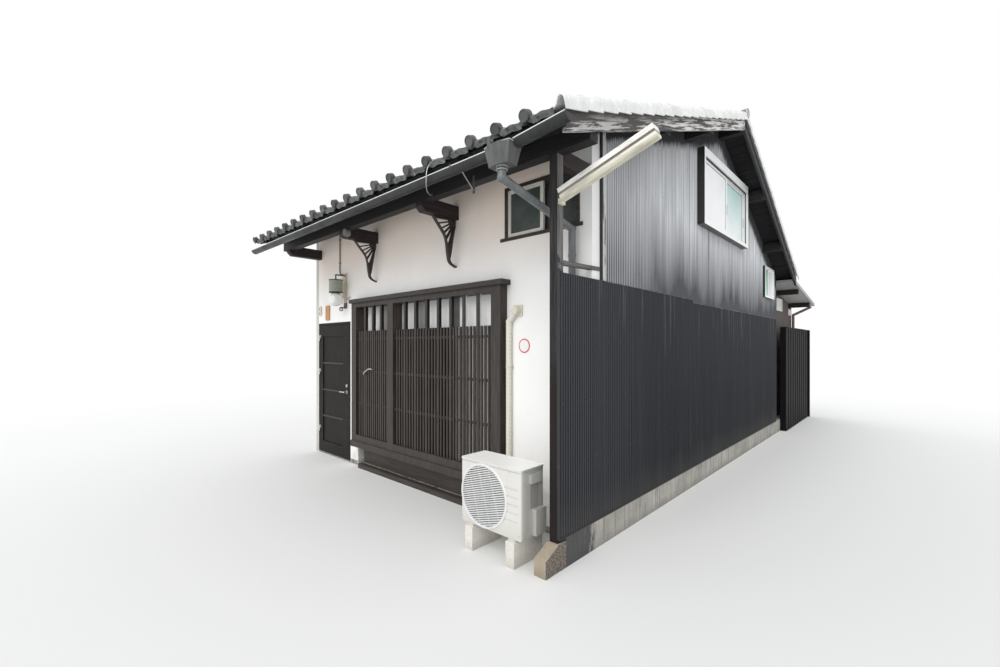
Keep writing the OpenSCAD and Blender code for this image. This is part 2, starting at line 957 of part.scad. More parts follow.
module lattice_frame() {
    lip = 15;
    lip_h = 80;
    color("#2d2522") {
        for (x = [lattice_x0, lattice_post_x, right_bay_end])
            block([x, lattice_y, lattice_bottom], [x + lattice_stile, lattice_back, lattice_top]);
        block([lattice_x0, lattice_y, lattice_top - lattice_head_h],
            [lattice_x1, lattice_back, lattice_top]);
        block([lattice_x0, lattice_y, lattice_bottom],
            [lattice_x1, lattice_back, lattice_bottom + lattice_sill_h]);
        block([lattice_x0, lattice_y - lip, lattice_bottom],
            [lattice_x1, lattice_y, lattice_bottom + lip_h]);
    }
}

// The slats of one panel: thick ones between the bays, three thin ones in each bay
module slat_panel(x0, x1, bays) {
    pitch = (x1 - x0) / bays;
    low = lattice_bottom + lattice_sill_h;
    high = lattice_top - lattice_head_h;
    for (i = [1:bays - 1])
        block([x0 + i * pitch - slat_parent_w / 2, slat_y, low],
            [x0 + i * pitch + slat_parent_w / 2, slat_y + slat_d, high]);
    for (i = [0:bays - 1], k = [1:3])
        block([x0 + (i + k / 4) * pitch - slat_child_w / 2, slat_y, low],
            [x0 + (i + k / 4) * pitch + slat_child_w / 2, slat_y + slat_d, slat_child_top]);
    for (z = rail_heights)
        block([x0, slat_y + 8, z - rail_h / 2], [x1, slat_y + slat_d - 8, z + rail_h / 2]);
}

module lattice_slats() {
    color("#2d2522") {
        slat_panel(left_bay_x, lattice_post_x, left_bays);
        slat_panel(right_bay_x, right_bay_end, right_bays);
    }
}

module lattice_cap() {
    cap_h = 50;
    color("#2d2522")
        block([lattice_x0 - 20, lattice_y - 30, lattice_top],
            [lattice_x1 + 45, front_y, lattice_top + cap_h]);
}

module lattice_base() {
    board_y = front_y + 20;
    board_t = 30;
    color("#241f1c") {
        block([left_bay_x, board_y, front_base_h], [lattice_x1, board_y + board_t, lattice_bottom]);
        block([left_bay_x, lattice_y + board_t, 0], [lattice_x1, front_y, front_base_h]);
    }
}

module lattice_panes() {
    pane_y = lattice_back + 10;
    pane_t = 30;
    color("whitesmoke")
        block([lattice_x0, pane_y, lattice_bottom], [lattice_x1, pane_y + pane_t, lattice_top]);
}

// A rectangular window frame in the XZ plane
module frame_xz(x0, x1, y0, y1, z0, z1, t) {
    difference() {
        block([x0, y0, z0], [x1, y1, z1]);
        block([x0 + t, y0 - e, z0 + t], [x1 - t, y1 + e, z1 - t]);
    }
}

// A rectangular window frame in the YZ plane
module frame_yz(x0, x1, y0, y1, z0, z1, t) {
    difference() {
        block([x0, y0, z0], [x1, y1, z1]);
        block([x0 - e, y0 + t, z0 + t], [x1 + e, y1 - t, z1 - t]);
    }
}

module front_window() {
    sill_out = 12;
    sill_h = 30;
    color("#3a2f28") {
        frame_xz(front_win_x0, front_win_x1, front_y - 8, front_in - 20, front_win_z, front_win_top,
            front_casing);
        block([front_win_x0 - 56, front_y - sill_out, front_win_z],
            [front_win_x1 + 30, front_y, front_win_z + sill_h]);
        frame_xz(front_meet_x - sash_t, front_win_x1 - front_casing, front_y + 45, front_y + 70,
            front_win_z + front_casing, front_win_top - front_casing, sash_t);
    }
}

module front_sash() {
    color("silver")
        frame_xz(front_win_x0 + front_casing, front_meet_x, front_y + 6, front_y + 31,
            front_win_z + front_casing, front_win_top - front_casing, sash_t);
}

module side_window() {
    sill = 50;
    lap = 22;
    low = side_win_z + sill;
    high = side_win_top - side_head;
    color("white") {
        difference() {
            block([side_in + 20, side_win_y, side_win_z], [side_win_out, side_win_y1, side_win_top]);
            block([side_in, side_win_y + side_stile, low],
                [side_win_out + e, side_win_y1 - side_stile, high]);
        }
        frame_yz(28, 50, side_win_y + side_stile, side_meet_y + lap, low, high, 2 * lap);
        frame_yz(2, 24, side_meet_y - lap, side_win_y1 - side_stile, low, high, 2 * lap);
    }
}

module small_window() {
    mid = small_win_y + small_win_w / 2;
    bar_w = 16;
    top = small_win_z + small_win_h;
    color("white") {
        frame_yz(side_in + 20, 30, small_win_y, small_win_y + small_win_w, small_win_z, top,
            small_frame);
        block([-3, mid - bar_w, small_win_z + small_frame], [10, mid + bar_w, top - small_frame]);
    }
}

module window_glass() {
    low = front_win_z + front_casing + sash_t;
    high = front_win_top - front_casing - sash_t;
    color("lightcyan") {
        block([front_win_x0 + front_casing + sash_t, front_y + 16, low],
            [front_meet_x - sash_t, front_y + 16 + glass_t, high]);
        block([front_meet_x, front_y + 56, low],
            [front_win_x1 - front_casing - sash_t, front_y + 56 + glass_t, high]);
        side_pane(36, side_win_y + side_stile, side_meet_y + 22);
        side_pane(10, side_meet_y - 22, side_win_y1 - side_stile);
        block([-8, small_win_y + small_frame, small_win_z + small_frame],
            [glass_t - 8, small_win_y + small_win_w - small_frame,
            small_win_z + small_win_h - small_frame]);
    }
}

// The pane of one side window sash between the sash's ends
module side_pane(x, y0, y1) {
    sash = 44;
    block([x, y0 + sash, side_win_z + 50 + sash],
        [x + glass_t, y1 - sash, side_win_top - side_head - sash]);
}

module wall_lamp() {
    shade_h = 185;
    arm_top = wall_lamp_z + 265;
    board_low = wall_lamp_z - 210;
    board_high = wall_lamp_z + 293;
    color("#5a3a2c") {
        block([lamp_x - 40, front_y - 14, board_low], [lamp_x + 32, front_y, board_high]);
        block([lamp_x - 100, front_y - 8, wall_lamp_z - 60], [lamp_x - 40, front_y, wall_lamp_z + 240]);
        block([lamp_x - 8, lamp_y - 8, arm_top - 16], [lamp_x + 8, front_y, arm_top]);
        bar([lamp_x, lamp_y, wall_lamp_z + shade_h], [lamp_x, lamp_y, arm_top - 8], 9);
        bar([lamp_x, lamp_y, wall_lamp_z], [lamp_x, lamp_y, wall_lamp_z + shade_h], wall_lamp_r - 4);
        for (z = [0, shade_h - 12])
            bar([lamp_x, lamp_y, wall_lamp_z + z], [lamp_x, lamp_y, wall_lamp_z + z + 12], wall_lamp_r);
        block([lamp_x - 6, front_y - 90, board_low], [lamp_x + 6, front_y, board_low + 16]);
        lamp_scroll(front_y - 75, board_low - 18);
        bar([lamp_x + 32, front_y - 9, wall_lamp_z - 90], [lamp_x + 150, front_y - 9, wall_lamp_z - 60], 8);
    }
}

// The ring that ends the lamp's lower bracket
module lamp_scroll(y, z) {
    along_x(lamp_x - 6, lamp_x + 6)
        translate([y, z])
            difference() {
                circle(r = 26);
                circle(r = 14);
            }
}

module lamp_globe() {
    color("white")
        difference() {
            translate([lamp_x, lamp_y, wall_lamp_z - globe_r + 6])
                sphere(r = globe_r);
            block([lamp_x - globe_r, lamp_y - globe_r, wall_lamp_z],
                [lamp_x + globe_r, lamp_y + globe_r, wall_lamp_z + globe_r]);
        }
}

module street_lamp() {
    half = 45;
    groove = 34;
    y = post_y + post_w / 2;
    color("#dcd6b4") {
        translate([side_x, y, street_lamp_z])
            rotate([0, -street_lamp_tilt, 0])
                along_x(15, street_lamp_l)
                    polygon([
                        [-half, half], [-half, 8], [-groove, 4], [-groove, -8], [-half, -12],
                        [-40, -32], [-24, -half], [24, -half], [40, -32], [half, -12],
                        [groove, -8], [groove, 4], [half, 8], [half, half]
                    ]);
        block([side_x, y - 28, street_lamp_z - 62], [side_x + 26, y + 28, street_lamp_z - 20]);
    }
}

// An upright box with rounded corners
module rounded_box(low, high, r) {
    size = high - low;
    translate(low)
        linear_extrude(size[2]) {
            translate([r, 0])
                square([size[0] - 2 * r, size[1]]);
            translate([0, r])
                square([size[0], size[1] - 2 * r]);
            for (x = [r, size[0] - r], y = [r, size[1] - r])
                translate([x, y])
                    circle(r = r);
        }
}

module ac_unit() {
    foot_h = 15;
    lip = 4;
    lid_h = 14;
    groove_x = ac_x1 - 177;
    color("#e8e4da") {
        difference() {
            union() {
                rounded_box([ac_x0, ac_front, ac_block_h + foot_h], [ac_x1, ac_back, ac_top], 20);
                rounded_box([ac_x0 - lip, ac_front - lip, ac_top - lid_h],
                    [ac_x1 + lip, ac_back + lip, ac_top], 22);
                translate([fan_x, ac_front - lip, fan_z])
                    rotate([-90, 0, 0])
                        cylinder(r = ac_fan_r + 10, h = 2 * lip);
            }
            translate([fan_x, ac_front - lip - e, fan_z])
                rotate([-90, 0, 0])
                    cylinder(r = ac_fan_r, h = 32);
            for (i = [0:4])
                block([groove_x, ac_front - e, ac_block_h + 145 + 60 * i],
                    [groove_x + 150, ac_front + 5, ac_block_h + 153 + 60 * i]);
        }
        block([ac_x1, ac_front + 140, ac_block_h + 26], [ac_x1 + 35, ac_front + 265, ac_block_h + 225]);
        block([ac_x1, ac_front + 101, ac_block_h + 425], [ac_x1 + 22, ac_front + 229, ac_block_h + 493]);
        for (x = [ac_x0 + 90, ac_x1 - 115])
            block([x, ac_front - 12, ac_block_h], [x + 65, ac_back + 12, ac_block_h + foot_h]);
    }
}

module ac_grille() {
    wire = 7;
    hub_r = 52;
    ring_step = 46;
    rings = 4;
    color("#dedad0")
        translate([fan_x, ac_front, fan_z])
            rotate([-90, 0, 0]) {
                cylinder(r = hub_r, h = wire);
                for (i = [0:rings - 1])
                    difference() {
                        cylinder(r = ac_fan_r - ring_step * i, h = wire);
                        translate([0, 0, -e])
                            cylinder(r = ac_fan_r - ring_step * i - wire, h = wire + 2 * e);
                    }
                for (a = [0:45:135])
                    rotate(a)
                        translate([-ac_fan_r + wire, -wire / 2, 0])
                            cube([2 * (ac_fan_r - wire), wire, wire]);
            }
}

module ac_blocks() {
    block_w = 85;
    overhang = 30;
    color("#c9c5bb")
        for (x = [ac_x0 + 80, ac_x1 - 40 - block_w])
            block([x, ac_front - overhang, 0], [x + block_w, ac_back + overhang, ac_block_h]);
}

module ac_pipe() {
    x = lattice_x1 + 50;
    y = front_y - ac_pipe_r - 2;
    turn_z = 330;
    end = [x + 110, ac_back + 70, turn_z];
    foot = [x, y, turn_z];
    bend = [x, y, 1880];
    color("#e6dfca") {
        bar(foot, bend, ac_pipe_r);
        for (p = [foot, bend, end])
            translate(p)
                sphere(r = ac_pipe_r + 2);
        bar(bend, [x + 95, y, 1975], ac_pipe_r);
        bar(foot, end, ac_pipe_r);
        bar(end, [end[0], ac_back, turn_z], ac_pipe_r);
    }
}

module rear_wing_walls() {
    color("#6b5b52")
        difference() {
            along_x(left_x, wing_side_x)
                polygon([
                    [house_d, base_h], [wing_rear_y, base_h],
                    [wing_rear_y, wing_z(wing_rear_y) - wing_roof_t],
                    [house_d, wing_z(house_d) - wing_roof_t]
                ]);
            block([left_in, house_d - e, base_h - e],
                [wing_side_x - wing_wall_t, wing_rear_y - wing_wall_t, wing_roof_z]);
            block([wing_side_x - wing_wall_t - e, wing_win_low[0], wing_win_low[1]],
                [wing_side_x + e, wing_win_high[0], wing_win_high[1]]);
        }
}

// A part of the rear wing's roof between two distances, from depth y to its eave
module wing_roof_slab(x0, x1, y) {
    eave = wing_rear_y + 100;
    along_x(x0, x1)
        polygon([
            [y, wing_z(y) - wing_roof_t], [eave, wing_z(eave) - wing_roof_t],
            [eave, wing_z(eave)], [y, wing_z(y)]
        ]);
}

module rear_wing_roof() {
    slack = 5;
    color("#8c8a86") {
        wing_roof_slab(left_x, barge_x - slack, house_d);
        wing_roof_slab(barge_x - slack, rake_x, rear_eave_y + slack);
    }
}

module rear_wing_window() {
    frame = 28;
    color("white")
        difference() {
            block([wing_side_x - 60, wing_win_low[0], wing_win_low[1]],
                [wing_side_x + 20, wing_win_high[0], wing_win_high[1]]);
            block([wing_side_x, wing_win_low[0] + frame, wing_win_low[1] + frame],
                [wing_side_x + 20 + e, wing_win_high[0] - frame, wing_win_high[1] - frame]);
        }
}

module wing_pipe() {
    r = 27;
    x = wing_side_x + 45;
    y = wing_rear_y - 60;
    top = [rake_x - 60, wing_rear_y + 40, wing_z(wing_rear_y + 40) - wing_roof_t - r];
    turn = [x, y, top[2] - 170];
    color("#5a463c") {
        bar(turn, top, r);
        translate(turn)
            sphere(r = r + 2);
        bar([x, y, 0], turn, r);
        block([wing_side_x, y - 8, 1500], [x, y + 8, 1525]);
    }
}

module yard_fence() {
    sheet = 30;
    y0 = house_d + 390;
    y1 = y0 + fence_l;
    fold = 60;
    color("#1d1e20") {
        block([fence_out, y0, 0], [fence_out + sheet, y1, fence_h]);
        block([0, y0 - fold, 0], [fence_out + sheet, y0, fence_h]);
        block([fence_out + sheet, y1 - fold, 0], [fence_out + 2 * sheet, y1, fence_h]);
    }
}

footing();
corner_stone();
ground_floor();
upper_floor();
front_wall_pier();
front_wall_right();
front_wall_over_door();
front_wall_upper();
side_wall();
party_wall();
rear_wall();
lower_cladding();
upper_cladding();
wing_wall();
wing_rail();
corner_post();
edge_trim();
eave_purlin();
eave_arms();
bracket_left();
bracket_right();
roof_purlins();
rafters();
roof_boards_front();
roof_boards_rear();
roof_tiles_front();
roof_tiles_rear();
ridge_tiles();
rake_tiles();
bargeboard_front();
bargeboard_rear();
gutter();
rain_hopper();
downpipe();
door_frame();
entry_door();
door_lever();
lattice_frame();
lattice_slats();
lattice_cap();
lattice_base();
lattice_panes();
front_window();
front_sash();
side_window();
small_window();
window_glass();
wall_lamp();
lamp_globe();
street_lamp();
ac_unit();
ac_grille();
ac_blocks();
ac_pipe();
rear_wing_walls();
rear_wing_roof();
rear_wing_window();
wing_pipe();
yard_fence();
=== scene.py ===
# %% [markdown]
# # A machiya, the end house of its row
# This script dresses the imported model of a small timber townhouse. The frame holds every piece at
# its real size, so the script never moves one: it gives each a finish, and it replaces the few
# that need finer shapes than a construction model holds, such as the roof tiles.

# %% Load the frame
import math
import random

import bmesh
import bpy
from mathutils import Matrix, Vector


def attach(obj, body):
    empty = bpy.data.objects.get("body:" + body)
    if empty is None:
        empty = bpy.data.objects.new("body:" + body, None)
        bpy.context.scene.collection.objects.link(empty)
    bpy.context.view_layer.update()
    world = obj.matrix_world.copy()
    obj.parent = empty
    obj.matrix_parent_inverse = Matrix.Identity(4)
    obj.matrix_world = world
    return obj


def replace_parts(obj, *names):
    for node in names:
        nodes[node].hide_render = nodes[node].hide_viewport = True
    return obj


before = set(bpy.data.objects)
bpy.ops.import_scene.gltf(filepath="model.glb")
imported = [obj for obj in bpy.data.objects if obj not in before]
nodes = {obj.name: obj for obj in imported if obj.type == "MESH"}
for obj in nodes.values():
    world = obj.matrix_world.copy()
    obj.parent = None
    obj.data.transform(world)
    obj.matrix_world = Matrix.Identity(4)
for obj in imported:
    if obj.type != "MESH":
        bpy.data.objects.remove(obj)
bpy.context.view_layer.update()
print("frame has", len(nodes), "nodes")

# %% [markdown]
# The camera stands at eye height, off the corner, and looks level at it. A level camera keeps the
# posts upright, as an architect's photograph does, and a small vertical shift sets the horizon.

# %% Camera
PIXELS = (1000, 667)
SENSOR = 36.0
FOCAL_PX = 442.0
EYE = Vector((1.884, -2.639, 1.65))
LOOK_LEFT = math.radians(43.0)
HORIZON_ROW = 346.0

camera = bpy.data.objects.new("camera", bpy.data.cameras.new("camera"))
bpy.context.scene.collection.objects.link(camera)
camera.location = EYE
camera.rotation_euler = (math.radians(90), 0, LOOK_LEFT)
camera.data.sensor_width = SENSOR
camera.data.lens = FOCAL_PX / PIXELS[0] * SENSOR
camera.data.shift_y = (HORIZON_ROW - PIXELS[1] / 2) / PIXELS[0]
camera.data.clip_start = 0.05
bpy.context.scene.camera = camera
print("lens", round(camera.data.lens, 2), "mm")

# %% [markdown]
# The light is a bright overcast sky: an even world and one very soft lamp from the street side, so
# that colours render about as they are written. The world looks white to the camera, to glass and
# in reflections, and gives its plain level of light to everything else.

# %% World
scene = bpy.context.scene
scene.view_settings.view_transform = "Standard"


def sky_world(strength):
    """An even sky that looks white to the camera and in reflections."""
    world = bpy.data.worlds.new("overcast")
    scene.world = world
    world.use_nodes = True
    tree = world.node_tree
    tree.nodes.clear()
    out, blend, soft, white, path, first, second = (
        tree.nodes.new("ShaderNode" + kind) for kind in
        ("OutputWorld", "MixShader", "Background", "Background", "LightPath", "Math", "Math"))
    first.operation = second.operation = "MAXIMUM"
    soft.inputs["Color"].default_value = (0.95, 0.97, 1.0, 1)
    soft.inputs["Strength"].default_value = strength
    white.inputs["Color"].default_value = (1, 1, 1, 1)
    for source, target in ((path.outputs["Is Camera Ray"], first.inputs[0]),
                           (path.outputs["Is Glossy Ray"], first.inputs[1]),
                           (first.outputs[0], second.inputs[0]),
                           (path.outputs["Is Transmission Ray"], second.inputs[1]),
                           (second.outputs[0], blend.inputs["Fac"]),
                           (soft.outputs[0], blend.inputs[1]),
                           (white.outputs[0], blend.inputs[2]),
                           (blend.outputs[0], out.inputs["Surface"])):
        tree.links.new(source, target)


def sun(name, direction, energy, angle, colour):
    """A soft sun that shines along a direction."""
    lamp = bpy.data.lights.new(name, "SUN")
    lamp.energy = energy
    lamp.angle = angle
    lamp.color = colour
    obj = bpy.data.objects.new(name, lamp)
    obj.rotation_euler = Vector(direction).to_track_quat("-Z", "Y").to_euler()
    scene.collection.objects.link(obj)


sky_world(strength=0.88)
sun("bright_cloud", direction=(-0.22, 0.92, -0.85), energy=1.6, angle=math.radians(50),
    colour=(1.0, 0.985, 0.96))
print("world and one soft lamp")

# %% [markdown]
# Every finish starts from a few node helpers. Patterns read Object coordinates, and each object
# sits at the origin, so one metre of pattern is one metre of house on every piece.

# %% Node helpers


def material(name, colour, rough, metallic=0.0, specular=0.5):
    """A new material with a Principled shader, and its node tree."""
    mat = bpy.data.materials.new(name)
    mat.use_nodes = True
    inputs = shader_of(mat).inputs
    inputs["Base Color"].default_value = (*colour, 1)
    inputs["Roughness"].default_value = rough
    inputs["Metallic"].default_value = metallic
    inputs["Specular IOR Level"].default_value = specular
    return mat, mat.node_tree


def shader_of(mat):
    """The material's Principled shader."""
    return mat.node_tree.nodes["Principled BSDF"]


def plug(tree, socket, value):
    """Links a socket, or sets a number or a colour on it."""
    if hasattr(value, "links"):
        tree.links.new(value, socket)
    elif isinstance(value, (int, float)):
        socket.default_value = value
    else:
        socket.default_value = (*value, 1)


def place(tree, scale=(1, 1, 1), turn=(0, 0, 0)):
    """Object coordinates, turned first and then scaled."""
    vector = tree.nodes.new("ShaderNodeTexCoord").outputs["Object"]
    for name, value in (("Rotation", turn), ("Scale", scale)):
        mapping = tree.nodes.new("ShaderNodeMapping")
        mapping.inputs[name].default_value = value
        tree.links.new(vector, mapping.inputs["Vector"])
        vector = mapping.outputs["Vector"]
    return vector


def noise(tree, scale, detail=4.0, rough=0.55, stretch=(1, 1, 1), turn=(0, 0, 0)):
    """The factor of a noise texture; a small stretch number draws it out along that axis."""
    tex = tree.nodes.new("ShaderNodeTexNoise")
    tex.inputs["Scale"].default_value = scale
    tex.inputs["Detail"].default_value = detail
    tex.inputs["Roughness"].default_value = rough
    tree.links.new(place(tree, stretch, turn), tex.inputs["Vector"])
    return tex.outputs["Fac"]


def grey_ramp(tree, value, low, high, start=0.0, end=1.0):
    """A grey ramp from start to end."""
    node = tree.nodes.new("ShaderNodeValToRGB")
    for element, (position, grey) in zip(node.color_ramp.elements, ((low, start), (high, end))):
        element.position = position
        element.color = (grey, grey, grey, 1)
    tree.links.new(value, node.inputs["Fac"])
    return node.outputs["Color"]


def maths(tree, kind, first, second=0.5):
    """One Math node."""
    node = tree.nodes.new("ShaderNodeMath")
    node.operation = kind
    plug(tree, node.inputs[0], first)
    plug(tree, node.inputs[1], second)
    return node.outputs[0]


def times(tree, first, second):
    """The product of two values, which is one only where both are."""
    return maths(tree, "MULTIPLY", first, second)


def axis(tree, letter):
    """One Object coordinate, in metres."""
    coord = tree.nodes.new("ShaderNodeTexCoord")
    split = tree.nodes.new("ShaderNodeSeparateXYZ")
    tree.links.new(coord.outputs["Object"], split.inputs[0])
    return split.outputs[letter]


def span(tree, value, low, high, start=0.0, end=1.0):
    """Maps a value, or an axis by its letter, from low..high to start..end, held at the ends."""
    node = tree.nodes.new("ShaderNodeMapRange")
    for name, number in zip(("From Min", "From Max", "To Min", "To Max"), (low, high, start, end)):
        node.inputs[name].default_value = number
    value = axis(tree, value) if isinstance(value, str) else value
    tree.links.new(value, node.inputs["Value"])
    return node.outputs["Result"]


def swing(tree, value, start, end):
    """Maps a noise, which mostly keeps between 0.3 and 0.7, to start..end."""
    return span(tree, value, 0.3, 0.7, start, end)


def past(tree, letter, value):
    """One where an Object coordinate is more than a value, else zero."""
    return maths(tree, "GREATER_THAN", axis(tree, letter), value)


def short_of(tree, letter, value):
    """One where an Object coordinate is less than a value, else zero."""
    return maths(tree, "LESS_THAN", axis(tree, letter), value)


def inside(tree, *limits):
    """One inside limits, each a letter, a low and a high value, else zero."""
    share = 1.0
    for letter, low, high in limits:
        for edge in (past(tree, letter, low), short_of(tree, letter, high)):
            share = times(tree, share, edge)
    return share


def ragged(tree, letter, value, reach):
    """An Object coordinate that a noise pushes to and fro, for a ragged edge."""
    return maths(tree, "ADD", axis(tree, letter), swing(tree, value, -reach, reach))


def saw_tooth(tree, value, pitch):
    """Climbs from zero to one over every pitch of a value."""
    return maths(tree, "FRACT", maths(tree, "DIVIDE", value, pitch))


def darker(colour, share):
    """A colour times a share."""
    return tuple(part * share for part in colour)


# %% [markdown]
# A finish is a tint that more colours are laid over: blotches where a noise is high, fades along
# an axis, and zones with hard edges. The last step links the tint and a bump to the shader.

# %% Tint helpers


def mix(tree, factor, first, second):
    """Blends two colours, which may be sockets or plain colours."""
    node = tree.nodes.new("ShaderNodeMix")
    node.data_type = "RGBA"
    plug(tree, node.inputs[0], factor)
    plug(tree, node.inputs[6], first)
    plug(tree, node.inputs[7], second)
    return node.outputs[2]


def blotch(tree, tint, colour, value, low, high, share=1.0):
    """Lays a colour over a tint where a value is high, by up to a share."""
    return mix(tree, grey_ramp(tree, value, low, high, 0.0, share), tint, colour)


def fade(tree, tint, colour, value, low, high, start=0.0, end=1.0):
    """Lays a colour over a tint by a value or along an axis, from one share to another."""
    return mix(tree, span(tree, value, low, high, start, end), tint, colour)


def zone(tree, tint, colour, *limits):
    """Lays a colour over a tint inside limits, with hard edges."""
    return mix(tree, inside(tree, *limits), tint, colour)


def finished(mat, tint, height, strength, distance, rough=None):
    """Links a tint, a bump and, where it varies, a roughness to a material's shader."""
    tree, inputs = mat.node_tree, shader_of(mat).inputs
    bump = tree.nodes.new("ShaderNodeBump")
    bump.inputs["Strength"].default_value = strength
    bump.inputs["Distance"].default_value = distance
    tree.links.new(height, bump.inputs["Height"])
    tree.links.new(bump.outputs["Normal"], inputs["Normal"])
    tree.links.new(tint, inputs["Base Color"])
    if rough is not None:
        tree.links.new(rough, inputs["Roughness"])
    return mat


def tint_of(mat):
    """What colours a finish now: a socket, or else its plain colour."""
    socket = shader_of(mat).inputs["Base Color"]
    return socket.links[0].from_socket if socket.links else socket.default_value[:3]


def retouch(mat, factor, colour):
    """Lays one more colour over a finish; the factor is made on the finish's own tree."""
    tree = mat.node_tree
    tint = mix(tree, factor(tree), tint_of(mat), colour)
    tree.links.new(tint, shader_of(mat).inputs["Base Color"])


def dress(mat, *names):
    """Gives a material to CAD nodes."""
    for name in names:
        mesh = nodes[name].data
        mesh.materials.clear()
        mesh.materials.append(mat)


# %% [markdown]
# New pieces are bmesh forms. A few helpers make the bodies that recur, a board with eased edges
# and a round rod, and one turns a form into a piece that rides with the house.

# %% Piece helpers


def board(form, low, high, ease=0.003):
    """A squared board from its low to its high corner, with eased edges."""
    low, high = Vector(low), Vector(high)
    made = bmesh.ops.create_cube(form, size=1.0)["verts"]
    size = high - low
    bmesh.ops.scale(form, vec=size, verts=made)
    bmesh.ops.translate(form, vec=(low + high) / 2, verts=made)
    edges = list({edge for vert in made for edge in vert.link_edges})
    bmesh.ops.bevel(form, geom=edges, offset=min(ease, min(size) * 0.3), offset_type="OFFSET",
                    segments=2, profile=0.5, affect="EDGES", material=-1)


def rod(form, start, end, radius, sides=12, radius_end=None):
    """A round rod between two points, with closed ends."""
    start, end = Vector(start), Vector(end)
    way = end - start
    turn = way.to_track_quat("Z", "Y").to_matrix().to_4x4()
    bmesh.ops.create_cone(form, cap_ends=True, cap_tris=False, segments=sides, radius1=radius,
                          radius2=radius if radius_end is None else radius_end, depth=way.length,
                          matrix=Matrix.Translation((start + end) / 2) @ turn)


def ring(form, centre, normal, radius, wire, steps=40, sides=6):
    """A closed ring of round wire: a small circle spun about the ring's axis."""
    normal = Vector(normal).normalized()
    side = normal.orthogonal().normalized()
    turn = Matrix((side, normal, side.cross(normal))).transposed().to_4x4()
    circle = bmesh.ops.create_circle(
        form, cap_ends=False, radius=wire, segments=sides,
        matrix=Matrix.Translation(Vector(centre) + side * radius) @ turn)
    edges = list({edge for vert in circle["verts"] for edge in vert.link_edges})
    bmesh.ops.spin(form, geom=circle["verts"] + edges, cent=centre, axis=normal,
                   angle=math.tau, steps=steps, use_merge=True, use_duplicate=False)


def piece(name, form, finish, body="house", smooth=False):
    """Makes a form into a piece of the house with a finish and a material slot."""
    bmesh.ops.recalc_face_normals(form, faces=form.faces[:])
    for face in form.faces:
        face.smooth = smooth
    mesh = bpy.data.meshes.new(name)
    form.to_mesh(mesh)
    form.free()
    mesh.materials.append(finish)
    obj = bpy.data.objects.new(name, mesh)
    scene.collection.objects.link(obj)
    if smooth:
        mesh.set_sharp_from_angle(angle=math.radians(40))
    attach(obj, body)
    print(name, len(mesh.polygons), "faces")
    return obj


def assemble(name, make, rows, finish, smooth=False):
    """A piece of the house made of several boards or rods, one for each row of numbers."""
    form = bmesh.new()
    for row in rows:
        make(form, *row)
    return piece(name, form, finish, smooth=smooth)


def bent_wire(name, points, radius, finish):
    """A round wire or pipe through points, as a mesh."""
    curve = bpy.data.curves.new(name, "CURVE")
    curve.dimensions = "3D"
    curve.bevel_depth = radius
    curve.bevel_resolution = 3
    curve.use_fill_caps = True
    line = curve.splines.new("BEZIER")
    line.bezier_points.add(len(points) - 1)
    for knot, point in zip(line.bezier_points, points):
        knot.co = point
        knot.handle_left_type = knot.handle_right_type = "AUTO"
    holder = bpy.data.objects.new(name + "_curve", curve)
    mesh = bpy.data.meshes.new_from_object(holder)
    bpy.data.objects.remove(holder)
    form = bmesh.new()
    form.from_mesh(mesh)
    bpy.data.meshes.remove(mesh)
    bmesh.ops.remove_doubles(form, verts=form.verts[:], dist=1e-5)
    return piece(name, form, finish, smooth=True)


# %% [markdown]
# The floor is a pale sheet that keeps the house's shadow. Away from the house its material turns
# into plain white, but only to the camera, so that no horizon cuts across the view.

# %% Floor
HOUSE_MIDDLE = (-2.0, 3.5)


def distance(tree, letters, centre):
    """How far a point is from a centre, measured over two axes."""
    squares = [maths(tree, "POWER", maths(tree, "SUBTRACT", axis(tree, letter), value), 2.0)
               for letter, value in zip(letters, centre)]
    return maths(tree, "SQRT", maths(tree, "ADD", *squares))


def floor_stage(size, clear, white):
    """A pale floor that fades to white between two distances from the house."""
    form = bmesh.new()
    bmesh.ops.create_grid(form, x_segments=1, y_segments=1, size=size)
    mesh = bpy.data.meshes.new("floor")
    form.to_mesh(mesh)
    form.free()
    obj = bpy.data.objects.new("floor", mesh)
    scene.collection.objects.link(obj)
    mat, tree = material("floor", (0.80, 0.80, 0.79), 0.9)
    glow = tree.nodes.new("ShaderNodeEmission")
    blend = tree.nodes.new("ShaderNodeMixShader")
    path = tree.nodes.new("ShaderNodeLightPath")
    far = span(tree, distance(tree, "XY", HOUSE_MIDDLE), clear, white)
    tree.links.new(times(tree, path.outputs["Is Camera Ray"], far), blend.inputs["Fac"])
    tree.links.new(shader_of(mat).outputs[0], blend.inputs[1])
    tree.links.new(glow.outputs[0], blend.inputs[2])
    tree.links.new(blend.outputs[0], tree.nodes["Material Output"].inputs["Surface"])
    mesh.materials.append(mat)


floor_stage(size=80.0, clear=6.5, white=13.0)
print("floor laid")

# %% [markdown]
# The front wall is white plaster, rolled on by hand. It is nearly flat, so the finish is faint
# mottling, a fine grain in the bump, thin grey runs, a warmer tint under the eave and the grey
# that rain splashes on its foot. The party wall and the inside faces are an older, greyer coat.

# %% Plaster


